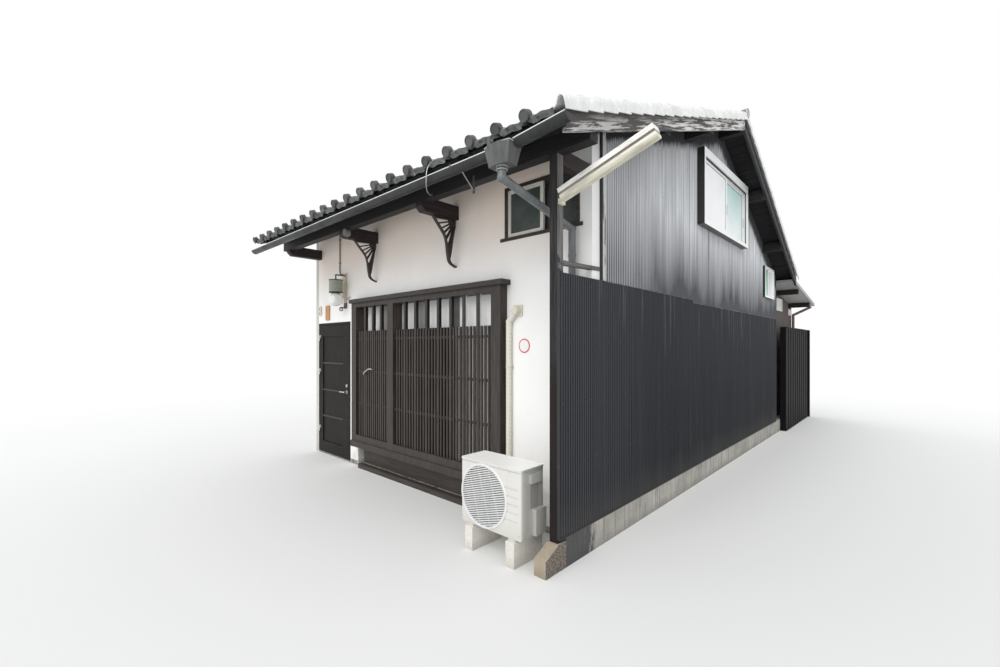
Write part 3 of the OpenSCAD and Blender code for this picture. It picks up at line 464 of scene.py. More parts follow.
def plaster(name, colour, foot, foot_height, runs, eave):
    """Rolled plaster with a splashed foot, faint runs and another tint under the eave."""
    mat, tree = material(name, colour, 0.88)
    under_eave = times(tree, span(tree, "Z", 2.3, 3.0), span(tree, "X", -0.17, -0.12, 1.0, 0.0))
    tint = mix(tree, under_eave, colour, eave)
    tint = blotch(tree, tint, darker(colour, 0.85), noise(tree, 1.6, 5), 0.35, 0.75, 0.4)
    streaks = noise(tree, 1.5, 5, 0.6, (9, 9, 0.5))
    tint = blotch(tree, tint, foot, streaks, 0.55, 0.85, runs)
    splash = maths(tree, "ADD", span(tree, "Z", 0.0, foot_height, 1.0, 0.0),
                   swing(tree, noise(tree, 7, 6), -0.5, 0.3))
    tint = blotch(tree, tint, foot, splash, 0.25, 1.1)
    return finished(mat, tint, noise(tree, 90, 3), 0.25, 0.003)


white_plaster = plaster("white_plaster", (0.94, 0.935, 0.92), (0.66, 0.63, 0.59), 0.4, 0.12,
                        (0.995, 0.855, 0.738))
dress(white_plaster, "front_wall_pier", "front_wall_right", "front_wall_over_door",
      "front_wall_upper")
grey_plaster = plaster("grey_plaster", (0.60, 0.58, 0.54), (0.42, 0.40, 0.37), 0.6, 0.5,
                       (0.56, 0.54, 0.50))
dress(grey_plaster, "side_wall", "party_wall", "rear_wall")
print("plaster on 7 walls")

# %% [markdown]
# Concrete and stone carry the side wall. The base is cast against boards and weathered, so it is
# blotched, dripped on, darker at the ground and pitted, and its street end was once painted dark
# with the wall. The corner stone is a warmer rock with coarse grains.

# %% Concrete and stone


def concrete(name, colour, dark, grain, pits):
    """Weathered cast concrete or rock with grains of a given fineness."""
    mat, tree = material(name, colour, 0.93)
    cloud = noise(tree, 3.0, 8, 0.65)
    speck = noise(tree, grain, 4)
    tint = blotch(tree, dark, colour, cloud, 0.3, 0.7)
    tint = mix(tree, grey_ramp(tree, speck, 0.35, 0.6, 0.7, 1.0), darker(dark, 0.6), tint)
    pale = tuple(min(1.0, part * 1.35) for part in colour)
    tint = blotch(tree, tint, pale, noise(tree, grain * 1.7, 2), 0.66, 0.74, 0.5)
    tint = fade(tree, tint, darker(dark, 0.5), "Z", 0.0, 0.09, 0.45, 0.0)
    return finished(mat, tint, maths(tree, "ADD", cloud, speck), 0.5, pits)


base_concrete = concrete("base_concrete", (0.53, 0.51, 0.465), (0.31, 0.295, 0.26), 60, 0.006)
corner_rock = concrete("corner_rock", (0.47, 0.405, 0.315), (0.32, 0.27, 0.20), 95, 0.010)
screed = concrete("screed", (0.52, 0.51, 0.48), (0.42, 0.41, 0.39), 80, 0.002)
pale_block = concrete("pale_block", (0.82, 0.80, 0.74), (0.66, 0.63, 0.57), 70, 0.004)


def painted_foot(tree):
    """The dark paint on the base's first half metre, with a ragged end."""
    end = ragged(tree, "Y", noise(tree, 3, 6, stretch=(6, 6, 2)), 0.10)
    return span(tree, end, 0.42, 0.52, 0.92, 0.0)


def drips(tree):
    """Dark drips down the base."""
    return grey_ramp(tree, noise(tree, 1.0, 6, 0.6, (24, 24, 1.6)), 0.52, 0.68, 0.0, 0.7)


def side_grains(tree):
    """The corner stone's coarse, dark side."""
    grains = grey_ramp(tree, noise(tree, 75, 3), 0.42, 0.60, 0.95, 0.25)
    return times(tree, past(tree, "X", -0.0015), grains)


retouch(base_concrete, drips, (0.12, 0.115, 0.105))
retouch(base_concrete, painted_foot, (0.052, 0.053, 0.056))
retouch(corner_rock, side_grains, (0.060, 0.056, 0.054))
dress(base_concrete, "footing")
dress(corner_rock, "corner_stone")
dress(screed, "ground_floor")
dress(pale_block, "ac_blocks")
print("concrete and stone on 4 nodes")

# %% [markdown]
# The street timber is stained dark brown, nearly black. Grain runs along each member, so there is
# one finish per direction: the noise is stretched along the member's own axis. Edges that hands
# and rain reach have lost some stain, which the long pale streaks stand for.

# %% Timber
ALONG_X, ALONG_Y, ALONG_Z = (1.2, 22, 22), (22, 1.2, 22), (22, 22, 1.2)


def grained(tree, dark, light, grain, turn=(0, 0, 0)):
    """The tint and the fibre height of timber with grain along one axis."""
    fibres = noise(tree, 3.0, 8, 0.6, grain, turn)
    tint = blotch(tree, dark, light, fibres, 0.35, 0.68)
    streaks = grey_ramp(tree, noise(tree, 0.9, 3, 0.55, grain, turn), 0.3, 0.7, 0.35, 0.0)
    return mix(tree, streaks, tint, darker(dark, 0.55)), fibres


def timber(name, dark, light, rough, grain, depth=0.0015):
    """Stained or bare timber."""
    mat, tree = material(name, dark, rough, specular=0.3)
    tint, fibres = grained(tree, dark, light, grain)
    sheen = grey_ramp(tree, fibres, 0.2, 0.8, rough - 0.1, rough + 0.12)
    return finished(mat, tint, fibres, 0.6, depth, sheen)


def slat_backs(tree):
    """The slats behind their front faces, where no light falls."""
    return span(tree, "Y", 0.4315, 0.4345, 0.0, 0.9)


def lit_slat_sides(tree):
    """Painted light on the slats' sides, towards the lattice's right end."""
    return times(tree, inside(tree, ("Y", 0.4385, 0.4625)),
                 span(tree, "X", -1.66, -1.58, 0.0, 0.85))


STAIN = ((0.034, 0.028, 0.025), (0.078, 0.065, 0.057))
slat_wood = timber("slat_wood", *STAIN, 0.5, ALONG_Z)
retouch(slat_wood, slat_backs, (0.006, 0.005, 0.005))
# Painted light: the slats' sides near the right end are pale, as if lit from behind.
retouch(slat_wood, lit_slat_sides, (0.95, 0.94, 0.92))
# Nearly black: dark timber, darkened further as painted shade under the roofs.
attic_x = timber("attic_x", (0.016, 0.015, 0.017), (0.040, 0.037, 0.038), 0.8, ALONG_X)
dress(slat_wood, "lattice_slats")
dress(timber("stain_z", *STAIN, 0.5, ALONG_Z), "lattice_frame")
dress(timber("stain_x", *STAIN, 0.5, ALONG_X), "lattice_cap", "lattice_base", "front_window")
dress(timber("beam_black", (0.012, 0.011, 0.012), (0.032, 0.028, 0.029), 0.6, ALONG_X),
      "eave_purlin")
dress(timber("arm_red", (0.024, 0.017, 0.018), (0.056, 0.040, 0.040), 0.65, ALONG_Y), "eave_arms")
# The purlins and rafters under the roof: dark timber, darkened further as painted shade.
dress(attic_x, "roof_purlins")
dress(timber("attic_y", (0.015, 0.015, 0.017), (0.036, 0.035, 0.038), 0.8, ALONG_Y), "rafters")
print("timber along three axes")

# %% [markdown]
# Floors, soffits and doors are boards side by side. The joint between two boards is a thin dark
# line: where the place across the boards, divided by the board's width, starts a new whole number.
# On the door the rails are a little lighter, and the hinges and the lever's rose are bright metal.

# %% Jointed boards


def jointed(name, dark, light, rough, grain, letter, width, *limits):
    """Boards with dark joints across one axis; limits keep the joints inside a panel."""
    mat, tree = material(name, dark, rough, specular=0.14)
    tint, fibres = grained(tree, dark, light, grain)
    joint = maths(tree, "LESS_THAN", saw_tooth(tree, axis(tree, letter), width), 0.045)
    joint = times(tree, joint, inside(tree, *limits))
    tint = mix(tree, joint, tint, darker(dark, 0.25))
    return finished(mat, tint, maths(tree, "SUBTRACT", fibres, joint), 0.6, 0.002)


dress(jointed("floor_boards", (0.36, 0.25, 0.16), (0.50, 0.37, 0.25), 0.5, ALONG_X, "Y", 0.12),
      "upper_floor")
dress(jointed("soffit_boards", (0.018, 0.018, 0.020), (0.040, 0.039, 0.042), 0.8, ALONG_X,
              "Y", 0.15), "roof_boards_front", "roof_boards_rear")
DOOR_WIDE, DOOR_HIGH = ("X", -4.795, -4.165), ("Z", 0.188, 1.797)
DOOR_FACE, DOOR_RAILS = 0.4993, (0.580, 0.980, 1.390)
door_wood = jointed("door_wood", (0.012, 0.0095, 0.0085), (0.027, 0.022, 0.020), 0.55, ALONG_Z,
                    "X", 0.063, DOOR_WIDE, DOOR_HIGH)


def hardware(tree):
    """The hinges and the lever's rose, which stand out of the leaf."""
    return short_of(tree, "Y", DOOR_FACE)


for rail in DOOR_RAILS:
    retouch(door_wood, lambda tree: inside(tree, ("Z", rail - 0.011, rail + 0.013), DOOR_WIDE),
            (0.066, 0.058, 0.053))
retouch(door_wood, hardware, (0.60, 0.60, 0.58))
door_wood.node_tree.links.new(hardware(door_wood.node_tree),
                              shader_of(door_wood).inputs["Metallic"])
dress(door_wood, "entry_door", "door_frame")
print("jointed boards on floor, soffit and door")

# %% [markdown]
# The corner post shows three ages of one timber. Its foot is bare and reddish, the stretch beside
# the cladding is dark, and above the cladding the sun has bleached its side grey. One material
# with the height as its key keeps the changes soft and ragged, as they are on the post.

# %% Aged timber


def aged(name, dark, bleached, foot, grain, foot_top, side_foot, side_x):
    """Timber that is ruddy at its foot, dark above it and, on its sunny side, bleached on top."""
    mat, tree = material(name, dark, 0.75, specular=0.25)
    young, fibres = grained(tree, darker(dark, 0.45), darker(dark, 1.6), grain)
    old = grained(tree, darker(bleached, 0.45), bleached, grain)[0]
    low = grained(tree, darker(foot, 0.6), foot, grain)[0]
    height = ragged(tree, "Z", noise(tree, 14, 6), 0.12)
    tint = fade(tree, low, young, height, foot_top - 0.30, foot_top + 0.25)
    sunny = times(tree, span(tree, height, side_foot - 0.03, side_foot + 0.03),
                  past(tree, "X", side_x))
    return finished(mat, mix(tree, sunny, tint, old), fibres, 0.8, 0.003)


dress(aged("post_wood", (0.040, 0.037, 0.039), (0.24, 0.235, 0.23), (0.020, 0.0145, 0.0140),
           ALONG_Z, foot_top=1.55, side_foot=2.28, side_x=-0.0215), "corner_post")
dress(timber("bleached_y", (0.060, 0.058, 0.057), (0.25, 0.24, 0.23), 0.8, ALONG_Y, 0.003),
      "wing_rail")
print("aged timber on the post and the rail")

# %% [markdown]
# The trim board at the cladding's front edge is black along its street edge and wears old pale
# paint on its side. Peeling shows as noise with a hard edge between paint and bare wood. The
# bargeboards peel too: the front one is white, chalked up the slope and darker along its top near
# the street, and the rear one is black.

# %% Peeling paint
RIDGE_Y, RIDGE_Z, FRONT_SLOPE, REAR_SLOPE = 3.710, 4.575, 0.36, 0.48
TRIM_EDGE = (0.6, 0.632)


def peeling(name, paint, wood, grain, paint_share, rough=0.8, turn=0.0):
    """Old paint that comes off its wood; the share says how much is left, zero to one."""
    mat, tree = material(name, paint, rough)
    bare, fibres = grained(tree, darker(wood, 0.55), wood, grain, (turn, 0, 0))
    coarse = tuple(min(part, 13.0) for part in grain)
    flakes = noise(tree, 2.6, 9, 0.68, coarse, (turn, 0, 0))
    edge = 0.28 + 0.44 * paint_share
    left = grey_ramp(tree, flakes, edge, edge + 0.04, 1.0, 0.0)
    coat = blotch(tree, paint, darker(paint, 0.75), noise(tree, 25, 4), 0.3, 0.8, 0.5)
    return finished(mat, mix(tree, left, bare, coat), maths(tree, "ADD", left, fibres), 0.6, 0.002)


trim_paint = peeling("trim_paint", (0.60, 0.59, 0.58), (0.22, 0.21, 0.20), ALONG_Z, 0.55)
retouch(trim_paint, lambda tree: inside(tree, ("Y", *TRIM_EDGE)), (0.03, 0.03, 0.033))
dress(trim_paint, "edge_trim")
rake_white = peeling("rake_white", (0.50, 0.485, 0.465), (0.125, 0.115, 0.11), (9, 0.75, 24), 0.46,
                     turn=-math.atan(FRONT_SLOPE))


def chalked(tree):
    """What is left of the white paint, chalked more up the slope."""
    whole = grey_ramp(tree, tint_of(rake_white), 0.22, 0.42)
    return times(tree, whole, span(tree, "Y", 0.6, 1.6, 0.1, 0.6))


def dark_top_edge(tree):
    """The dark upper edge of the front bargeboard, near the street."""
    level = maths(tree, "ADD", axis(tree, "Z"), times(tree, axis(tree, "Y"), -FRONT_SLOPE))
    level = maths(tree, "ADD", level, times(tree, noise(tree, 2.5, 6, stretch=(3, 3, 3)), 0.10))
    return times(tree, span(tree, level, 3.205, 3.275, 0.0, 0.85),
                 span(tree, "Y", 0.9, 2.2, 1.0, 0.1))


retouch(rake_white, chalked, (0.93, 0.91, 0.89))
retouch(rake_white, dark_top_edge, (0.075, 0.070, 0.068))
dress(rake_white, "bargeboard_front")
dress(peeling("rake_black", (0.028, 0.028, 0.031), (0.14, 0.135, 0.13), ALONG_Y, 0.85, 0.6,
              math.atan(REAR_SLOPE)), "bargeboard_rear")
print("peeling paint on the trim and both bargeboards")

# %% [markdown]
# The eave brackets are cast iron under old paint, dark red-brown where rust comes through. The
# outdoor fittings are painted metal as well: one helper gives painted metal its dull sheen, its
# rust bloom and the grime that gathers low on it.

# %% Painted metal


def painted(name, paint, rust, rust_share, rough=0.45, grime=0.3, metallic=0.0, specular=0.5):
    """Painted metal with rust bloom and grime."""
    mat, tree = material(name, paint, rough, metallic, specular)
    bloom = grey_ramp(tree, noise(tree, 11, 8, 0.62), 0.72 - 0.35 * rust_share,
                      0.82 - 0.30 * rust_share)
    tint = blotch(tree, paint, darker(paint, 0.55), noise(tree, 4, 6, stretch=(3, 3, 1.0)),
                  0.35, 0.8, grime)
    tint = mix(tree, bloom, tint, rust)
    dull = mix(tree, bloom, (rough,) * 3, (0.9,) * 3)
    return finished(mat, tint, noise(tree, 70, 3), 0.2, 0.001, dull)


dress(painted("bracket_iron", (0.030, 0.020, 0.020), (0.065, 0.036, 0.030), 0.5, 0.6),
      "bracket_left", "bracket_right")
steel = painted("door_steel", (0.62, 0.61, 0.58), (0.40, 0.38, 0.34), 0.15, 0.28, 0.2, 1.0)
dress(steel, "door_lever")
galvanised = painted("galvanised", (0.60, 0.61, 0.60), (0.42, 0.40, 0.37), 0.3, 0.4, 0.3, 1.0)
dark_hook = painted("dark_hook", (0.10, 0.10, 0.10), (0.16, 0.09, 0.06), 0.35, 0.45)
fence_black = painted("fence_black", (0.006, 0.006, 0.0075), (0.040, 0.039, 0.039), 0.1, 0.6, 0.5,
                      specular=0.1)
dress(fence_black, "yard_fence")
print("painted metal ready")

# %% [markdown]
# Gutter, hopper and pipe are hard plastic. Sun chalks it, so its sheen is uneven, and water has
# left faint vertical runs.

# %% Rain goods


def weathered_plastic(name, colour, chalk, rough):
    """Hard plastic that the sun has chalked."""
    mat, tree = material(name, colour, rough)
    tint = blotch(tree, colour, chalk, noise(tree, 2.0, 6, 0.6, (14, 14, 1.5)), 0.4, 0.75, 0.6)
    patch = noise(tree, 6, 5)
    tint = blotch(tree, tint, darker(colour, 0.6), patch, 0.45, 0.8, 0.35)
    sheen = grey_ramp(tree, patch, 0.3, 0.7, rough, rough + 0.25)
    return finished(mat, tint, noise(tree, 45, 3), 0.12, 0.001, sheen)


dress(weathered_plastic("gutter_plastic", (0.016, 0.017, 0.018), (0.036, 0.040, 0.039), 0.38),
      "gutter")
dress(weathered_plastic("pipe_plastic", (0.078, 0.079, 0.080), (0.17, 0.172, 0.17), 0.40),
      "rain_hopper")
# The downpipe is the same plastic as the hopper; its lighter colour here is painted light.
dress(weathered_plastic("downpipe_plastic", (0.120, 0.132, 0.132), (0.27, 0.285, 0.28), 0.26),
      "downpipe")
dress(weathered_plastic("brown_pipe", (0.19, 0.12, 0.10), (0.30, 0.22, 0.19), 0.45), "wing_pipe")
cream_plastic = weathered_plastic("cream_plastic", (0.74, 0.71, 0.58), (0.62, 0.58, 0.46), 0.5)
print("rain goods")

# %% [markdown]
# The side windows are painted aluminium. Their front faces are clean white, but the cheeks and the
# underside, which stand out of the wall, carry painted shade, nearly black, so the material keys on
# the place: what lies outside the frame's outline band and behind its front face is dark.

# %% White frames
FRAME_EDGE = 0.0015


def white_frame(name, outline, front_x):
    """White aluminium, painted shade on its cheeks; the outline is y low, y high, z low, z high."""
    mat, tree = material(name, (0.86, 0.87, 0.86), 0.3)
    y_low, y_high, z_low, z_high = outline
    clear = inside(tree, ("Y", y_low + FRAME_EDGE, y_high - FRAME_EDGE),
                   ("Z", z_low + FRAME_EDGE, z_high - FRAME_EDGE))
    white = maths(tree, "MAXIMUM", clear, past(tree, "X", front_x - FRAME_EDGE))
    pale = blotch(tree, (0.96, 0.97, 0.96), (0.88, 0.89, 0.88), noise(tree, 9, 5), 0.4, 0.8, 0.5)
    # Painted shade, nearly black, on the cheeks and the underside.
    tint = mix(tree, white, (0.030, 0.028, 0.028), pale)
    return finished(mat, tint, noise(tree, 120, 2), 0.1, 0.0005)


SIDE_WINDOW = (2.87, 4.77, 3.115, 4.035)
SMALL_WINDOW = (6.06, 6.75, 2.50, 3.04)
dress(white_frame("side_frame_paint", SIDE_WINDOW, 0.080), "side_window")
dress(white_frame("small_frame_paint", SMALL_WINDOW, 0.030), "small_window")
dress(painted("sash_beige", (0.78, 0.74, 0.67), (0.52, 0.49, 0.43), 0.2, 0.4), "front_sash")
dress(painted("wing_white", (0.85, 0.85, 0.83), (0.60, 0.58, 0.54), 0.15, 0.4), "rear_wing_window")
print("white frames")

# %% [markdown]
# One node holds the upper windows' panes. Each pane has its own colour: white, sea green that
# pales downwards and dark green, and the pane of the front window's right sash is nearly black,
# painted shade. The material picks by place, and every pane keeps the hard gloss of glass.

# %% Panes
SMALL_SPLIT = 6.405


def pane_glass():
    """The upper windows' glass."""
    mat, tree = material("pane_glass", (0.8, 0.8, 0.8), 0.28)
    sea = fade(tree, (0.95, 0.98, 0.98), (0.55, 0.85, 0.84), "Z", 3.2, 4.0)
    side = zone(tree, (0.97, 0.98, 0.98), sea, ("X", 0.0, 0.02))
    green = fade(tree, (0.50, 0.78, 0.62), (0.28, 0.55, 0.42), "Z", 2.55, 3.0)
    small = zone(tree, green, (0.84, 0.87, 0.86), ("Y", SMALL_SPLIT, 7.0))
    # Front window: dark green glass, and painted shade, nearly black, on the right sash's pane.
    dark = zone(tree, (0.035, 0.050, 0.042), (0.012, 0.012, 0.013), ("Y", 0.54, 0.6))
    tint = zone(tree, side, small, ("Y", 5.5, 7.0))
    tint = zone(tree, tint, dark, ("Y", 0.0, 1.0))
    ripple = noise(tree, 3, 3)
    tint = blotch(tree, tint, (0.5, 0.52, 0.52), ripple, 0.3, 0.8, 0.18)
    return finished(mat, tint, ripple, 0.05, 0.01)


upper_glass = pane_glass()
dress(upper_glass, "window_glass")
print("upper panes, all in one finish")

# %% [markdown]
# Behind the lattice stand frosted sliding panes. Where the thin slats end, most bays show white
# glass and some the dark of an open leaf. Near the right end the glass shows through the slats
# down to the sill, greyer as it goes down.

# %% Lattice panes
OPEN_BAYS = ((-3.90, -3.63, 0.05), (-3.18, -3.01, 0.24), (-2.44, -2.25, 0.24),
             (-1.80, -1.67, 0.05))
SLAT_TOP = 1.845


def lattice_glass():
    """Frosted panes, white in some bays and dark in others."""
    mat, tree = material("lattice_glass", (0.8, 0.8, 0.8), 0.35)
    tint = fade(tree, (0.90, 0.90, 0.89), (0.72, 0.72, 0.71), "Z", 1.85, 2.2)
    for low, high, grey in OPEN_BAYS:
        tint = zone(tree, tint, (grey, grey, grey * 0.97), ("X", low, high))
    lit = fade(tree, (0.24, 0.24, 0.23), (0.72, 0.72, 0.70), "Z", 0.3, 1.9)
    below = zone(tree, (0.022, 0.020, 0.019), lit, ("X", -1.42, -0.9))
    tint = mix(tree, short_of(tree, "Z", SLAT_TOP), tint, below)
    tint = blotch(tree, tint, (0.35, 0.36, 0.35), noise(tree, 5, 5), 0.35, 0.75, 0.2)
    return finished(mat, tint, noise(tree, 160, 2), 0.15, 0.0008)


dress(lattice_glass(), "lattice_panes")
print("panes behind the lattice")

# %% [markdown]
# The wall lamp has a shade of grey-green netted metal with black bands, on a cream plate and a
# red-brown scrolled foot. Its solid is one node, so the finish again keys on the place: on the
# height for the bands, and on how far out from the wall for the plate. The globe is dusty opal.

# %% Wall lamp
LAMP_Z = 2.400
LAMP_PLATE_Y = 0.4995 - 0.0155


def lamp_finish():
    """Net, bands, plate and foot of the wall lamp."""
    mat, tree = material("lamp_metal", (0.2, 0.2, 0.2), 0.5)
    net = tree.nodes.new("ShaderNodeTexChecker")
    net.inputs["Scale"].default_value = 1.0
    net.inputs["Color1"].default_value = (0.17, 0.19, 0.15, 1)
    net.inputs["Color2"].default_value = (0.40, 0.42, 0.34, 1)
    tree.links.new(place(tree, (110, 110, 110)), net.inputs["Vector"])
    bands = maths(tree, "MAXIMUM", inside(tree, ("Z", LAMP_Z - 0.01, LAMP_Z + 0.0125)),
                  inside(tree, ("Z", LAMP_Z + 0.1725, LAMP_Z + 0.5)))
    shade = mix(tree, bands, net.outputs["Color"], (0.030, 0.028, 0.026))
    foot = blotch(tree, (0.20, 0.060, 0.035), (0.09, 0.032, 0.022), noise(tree, 30, 6), 0.35, 0.7)
    plate = zone(tree, (0.11, 0.070, 0.045), (0.62, 0.56, 0.40), ("Z", LAMP_Z - 0.13, 3.0))
    tint = mix(tree, short_of(tree, "Z", LAMP_Z - 0.02), shade, foot)
    tint = mix(tree, past(tree, "Y", LAMP_PLATE_Y), tint, plate)
    return finished(mat, tint, net.outputs["Fac"], 0.4, 0.002)


def dust(tree):
    """Patches of dust."""
    return grey_ramp(tree, noise(tree, 18, 5), 0.45, 0.8, 0.0, 0.4)


dress(lamp_finish(), "wall_lamp")
globe_glass = material("globe_glass", (0.90, 0.90, 0.87), 0.22)[0]
for socket, value in (("Coat Weight", 0.4), ("Subsurface Weight", 0.15),
                      ("Subsurface Radius", (0.02, 0.02, 0.018))):
    shader_of(globe_glass).inputs[socket].default_value = value
retouch(globe_glass, dust, (0.70, 0.69, 0.64))
dress(globe_glass, "lamp_globe")
print("wall lamp")

# %% [markdown]
# The street lamp's long housing is cream, with a painted highlight that whitens its top, a
# brown-grey groove that is partly dirt and partly painted shadow, and a cream lower face. The
# housing is tilted, so the material first turns the pattern space by the same angle: its height
# over the housing's axis then tells the three zones apart.

# %% Street lamp
LAMP_TILT = math.radians(18.0)
LAMP_AXIS = 2.755 * math.cos(LAMP_TILT) + 0.02 * math.sin(LAMP_TILT)


def street_lamp_finish():
    """Cream housing, a painted highlight on top and a groove of dirt and painted shadow."""
    mat, tree = material("street_cream", (0.8, 0.78, 0.7), 0.5)
    split = tree.nodes.new("ShaderNodeSeparateXYZ")
    tree.links.new(place(tree, turn=(0, LAMP_TILT, 0)), split.inputs[0])
    over = maths(tree, "SUBTRACT", split.outputs["Z"], LAMP_AXIS)
    # Painted highlight: the housing whitens towards its top.
    cream = fade(tree, (0.74, 0.71, 0.56), (0.95, 0.94, 0.90), over, -0.045, 0.0)
    # The groove: dirt and painted shadow.
    groove = times(tree, maths(tree, "GREATER_THAN", over, -0.013),
                   maths(tree, "LESS_THAN", over, 0.0085))
    tint = mix(tree, groove, cream, (0.30, 0.27, 0.22))
    stain = noise(tree, 2.5, 7, 0.65, (2, 9, 9), (0, LAMP_TILT, 0))
    tint = blotch(tree, tint, (0.46, 0.43, 0.36), stain, 0.42, 0.64, 0.7)
    return finished(mat, tint, stain, 0.2, 0.002)


dress(street_lamp_finish(), "street_lamp")
print("street lamp, tilted", round(math.degrees(LAMP_TILT)), "degrees")

# %% [markdown]
# The outdoor unit is ivory enamel on sheet steel. Rain has drawn faint dirt down its faces and
# the inside of the fan's mouth is grey, which the material finds by depth and radius. The side
# that looks away from the street carries painted shade, lighter towards its rounded front edge,
# the valve recess in it carries painted shade, and the lid is painted lighter, a painted highlight.

# %% Outdoor unit
FAN = Vector((-0.607, -0.160, 0.460))
FAN_R = 0.236
UNIT_SIDE = -0.2235
UNIT_LID = 0.7295


def ivory_enamel():
    """Enamelled casing, grey fan mouth, painted shade on its side, painted highlight on its lid."""
    mat, tree = material("ivory_enamel", (0.83, 0.82, 0.77), 0.38)
    tint = blotch(tree, (0.68, 0.67, 0.635), (0.50, 0.48, 0.43),
                  noise(tree, 1.6, 6, 0.6, (16, 16, 1.3)), 0.5, 0.85, 0.5)
    tint = fade(tree, tint, (0.45, 0.42, 0.36), "Z", 0.19, 0.36, 0.35, 0.0)
    # Painted shade on the side away from the street, lighter towards its rounded front edge.
    side = times(tree, past(tree, "X", UNIT_SIDE), span(tree, "Y", -0.158, -0.105, 0.15, 0.9))
    tint = mix(tree, side, tint, (0.42, 0.415, 0.385))
    # Painted shade in the valve recess.
    tint = zone(tree, tint, (0.30, 0.295, 0.275), ("X", UNIT_SIDE, -0.2150),
                ("Y", -0.048, 0.052), ("Z", 0.420, 0.614))
    mouth = maths(tree, "LESS_THAN", distance(tree, "XZ", (FAN.x, FAN.z)), FAN_R + 0.0005)
    tint = mix(tree, times(tree, mouth, inside(tree, ("Y", -0.1625, -0.10))), tint,
               (0.36, 0.365, 0.36))
    # Painted highlight: the lid is lighter, as the sky lights it.
    tint = mix(tree, past(tree, "Z", UNIT_LID), tint, (0.99, 0.985, 0.96))
    return finished(mat, tint, noise(tree, 60, 3), 0.1, 0.0008)


dress(ivory_enamel(), "ac_unit")
ivory_wire = painted("ivory_wire", (0.73, 0.735, 0.725), (0.50, 0.49, 0.46), 0.12, 0.4)
fan_grey = weathered_plastic("fan_grey", (0.31, 0.31, 0.305), (0.35, 0.35, 0.345), 0.5)
print("fan mouth", 2 * FAN_R, "m across")

# %% [markdown]
# The unit's pipes run up the wall under wrapped vinyl tape. Each turn of tape laps the last, so
# the finish is a saw-tooth along the pipe in the bump, with a thin dirty line at every lap.

# %% Taped pipe


def wrapped_tape():
    """Cream tape wound round a pipe."""
    mat, tree = material("wrapped_tape", (0.80, 0.78, 0.68), 0.6)
    climb = maths(tree, "ADD", times(tree, axis(tree, "Z"), 26.0),
                  times(tree, axis(tree, "X"), 9.0))
    lap = maths(tree, "FRACT", climb)
    line = grey_ramp(tree, lap, 0.0, 0.16, 0.55, 0.0)
    tint = mix(tree, line, (0.80, 0.78, 0.69), (0.46, 0.43, 0.35))
    tint = blotch(tree, tint, (0.60, 0.57, 0.48), noise(tree, 12, 5), 0.45, 0.8, 0.4)
    return finished(mat, tint, lap, 0.5, 0.002)


dress(wrapped_tape(), "ac_pipe")
print("outdoor unit and its pipe")

# %% [markdown]
# The rear lean-to is clad in narrow brown boards that have greyed, under a flat sheet roof. Board
# joints are a saw-tooth on the place along the wall, of which only the start is dark.

# %% Rear lean-to


def boarded(name, dark, light, width):
    """Upright boards of one width with dark joints."""
    mat, tree = material(name, dark, 0.8)
    tint, fibres = grained(tree, dark, light, ALONG_Z)
    along = maths(tree, "ADD", axis(tree, "Y"), axis(tree, "X"))
    joint = maths(tree, "LESS_THAN", saw_tooth(tree, along, width), 0.035)
    tint = mix(tree, joint, tint, darker(dark, 0.3))
    tint = fade(tree, tint, darker(dark, 0.6), "Z", 0.2, 0.7, 0.5, 0.0)
    return finished(mat, tint, maths(tree, "SUBTRACT", fibres, joint), 0.7, 0.003)


dress(boarded("wing_boards", (0.088, 0.066, 0.060), (0.165, 0.130, 0.118), 0.118),
      "rear_wing_walls")
dress(boarded("charred_boards", (0.035, 0.035, 0.040), (0.085, 0.083, 0.090), 0.105), "wing_wall")
wing_sheet = painted("wing_sheet", (0.40, 0.395, 0.385), (0.30, 0.26, 0.22), 0.30, 0.5)
dress(wing_sheet, "rear_wing_roof")
print("rear lean-to")

# %% [markdown]
# The side wall wears small-wave corrugated sheet, black once. The upper storey's sheets have
# faded to a streaky grey, darker near their foot, with painted shade wherever the roof shades them;
# the lower sheets are newer and nearly black. Both finishes stretch their noise upright, because
# rain and sun work downwards, and add a faint line at every sheet lap. Both darken the wave
# valleys, partly dirt and partly painted shade, and near the street corner add painted shade in
# the valleys and a painted highlight on the crests.

# %% Sheet finishes
SHEET_WIDTH = 0.65


def under_roof(tree):
    """How far a point lies below the underside of the roof boards."""
    ahead = maths(tree, "SUBTRACT", axis(tree, "Y"), RIDGE_Y)
    line = maths(tree, "MINIMUM", times(tree, ahead, FRONT_SLOPE), times(tree, ahead, -REAR_SLOPE))
    line = maths(tree, "ADD", line, RIDGE_Z)
    return maths(tree, "SUBTRACT", line, axis(tree, "Z"))


def sheet_streaks(tree, fine, long):
    """Upright streaks on a wall that faces sideways."""
    return noise(tree, 1.0, 7, 0.62, (fine, fine, long))


def near_waves(tree, tint, end, groove, dark, crest, bright):
    """Painted valley shade and crest highlights near the street corner, which fade along the wall.
    """
    near = span(tree, "Y", *end, 0.95, 0.0)
    crest_highlight = times(tree, near, span(tree, "X", *crest, 0.0, 0.7))
    deep = times(tree, near, span(tree, "X", *groove, 1.0, 0.0))
    return mix(tree, deep, mix(tree, crest_highlight, tint, bright), dark)


def laps(tree, tint, first, bright, share):
    """A bright and a dark line where one sheet laps the next."""
    lap = saw_tooth(tree, maths(tree, "SUBTRACT", axis(tree, "Y"), first), SHEET_WIDTH)
    for kind, edge, colour in (("LESS_THAN", 0.014, bright),
                               ("GREATER_THAN", 0.982, (0.025, 0.026, 0.030))):
        tint = mix(tree, times(tree, maths(tree, kind, lap, edge), share), tint, colour)
    return tint


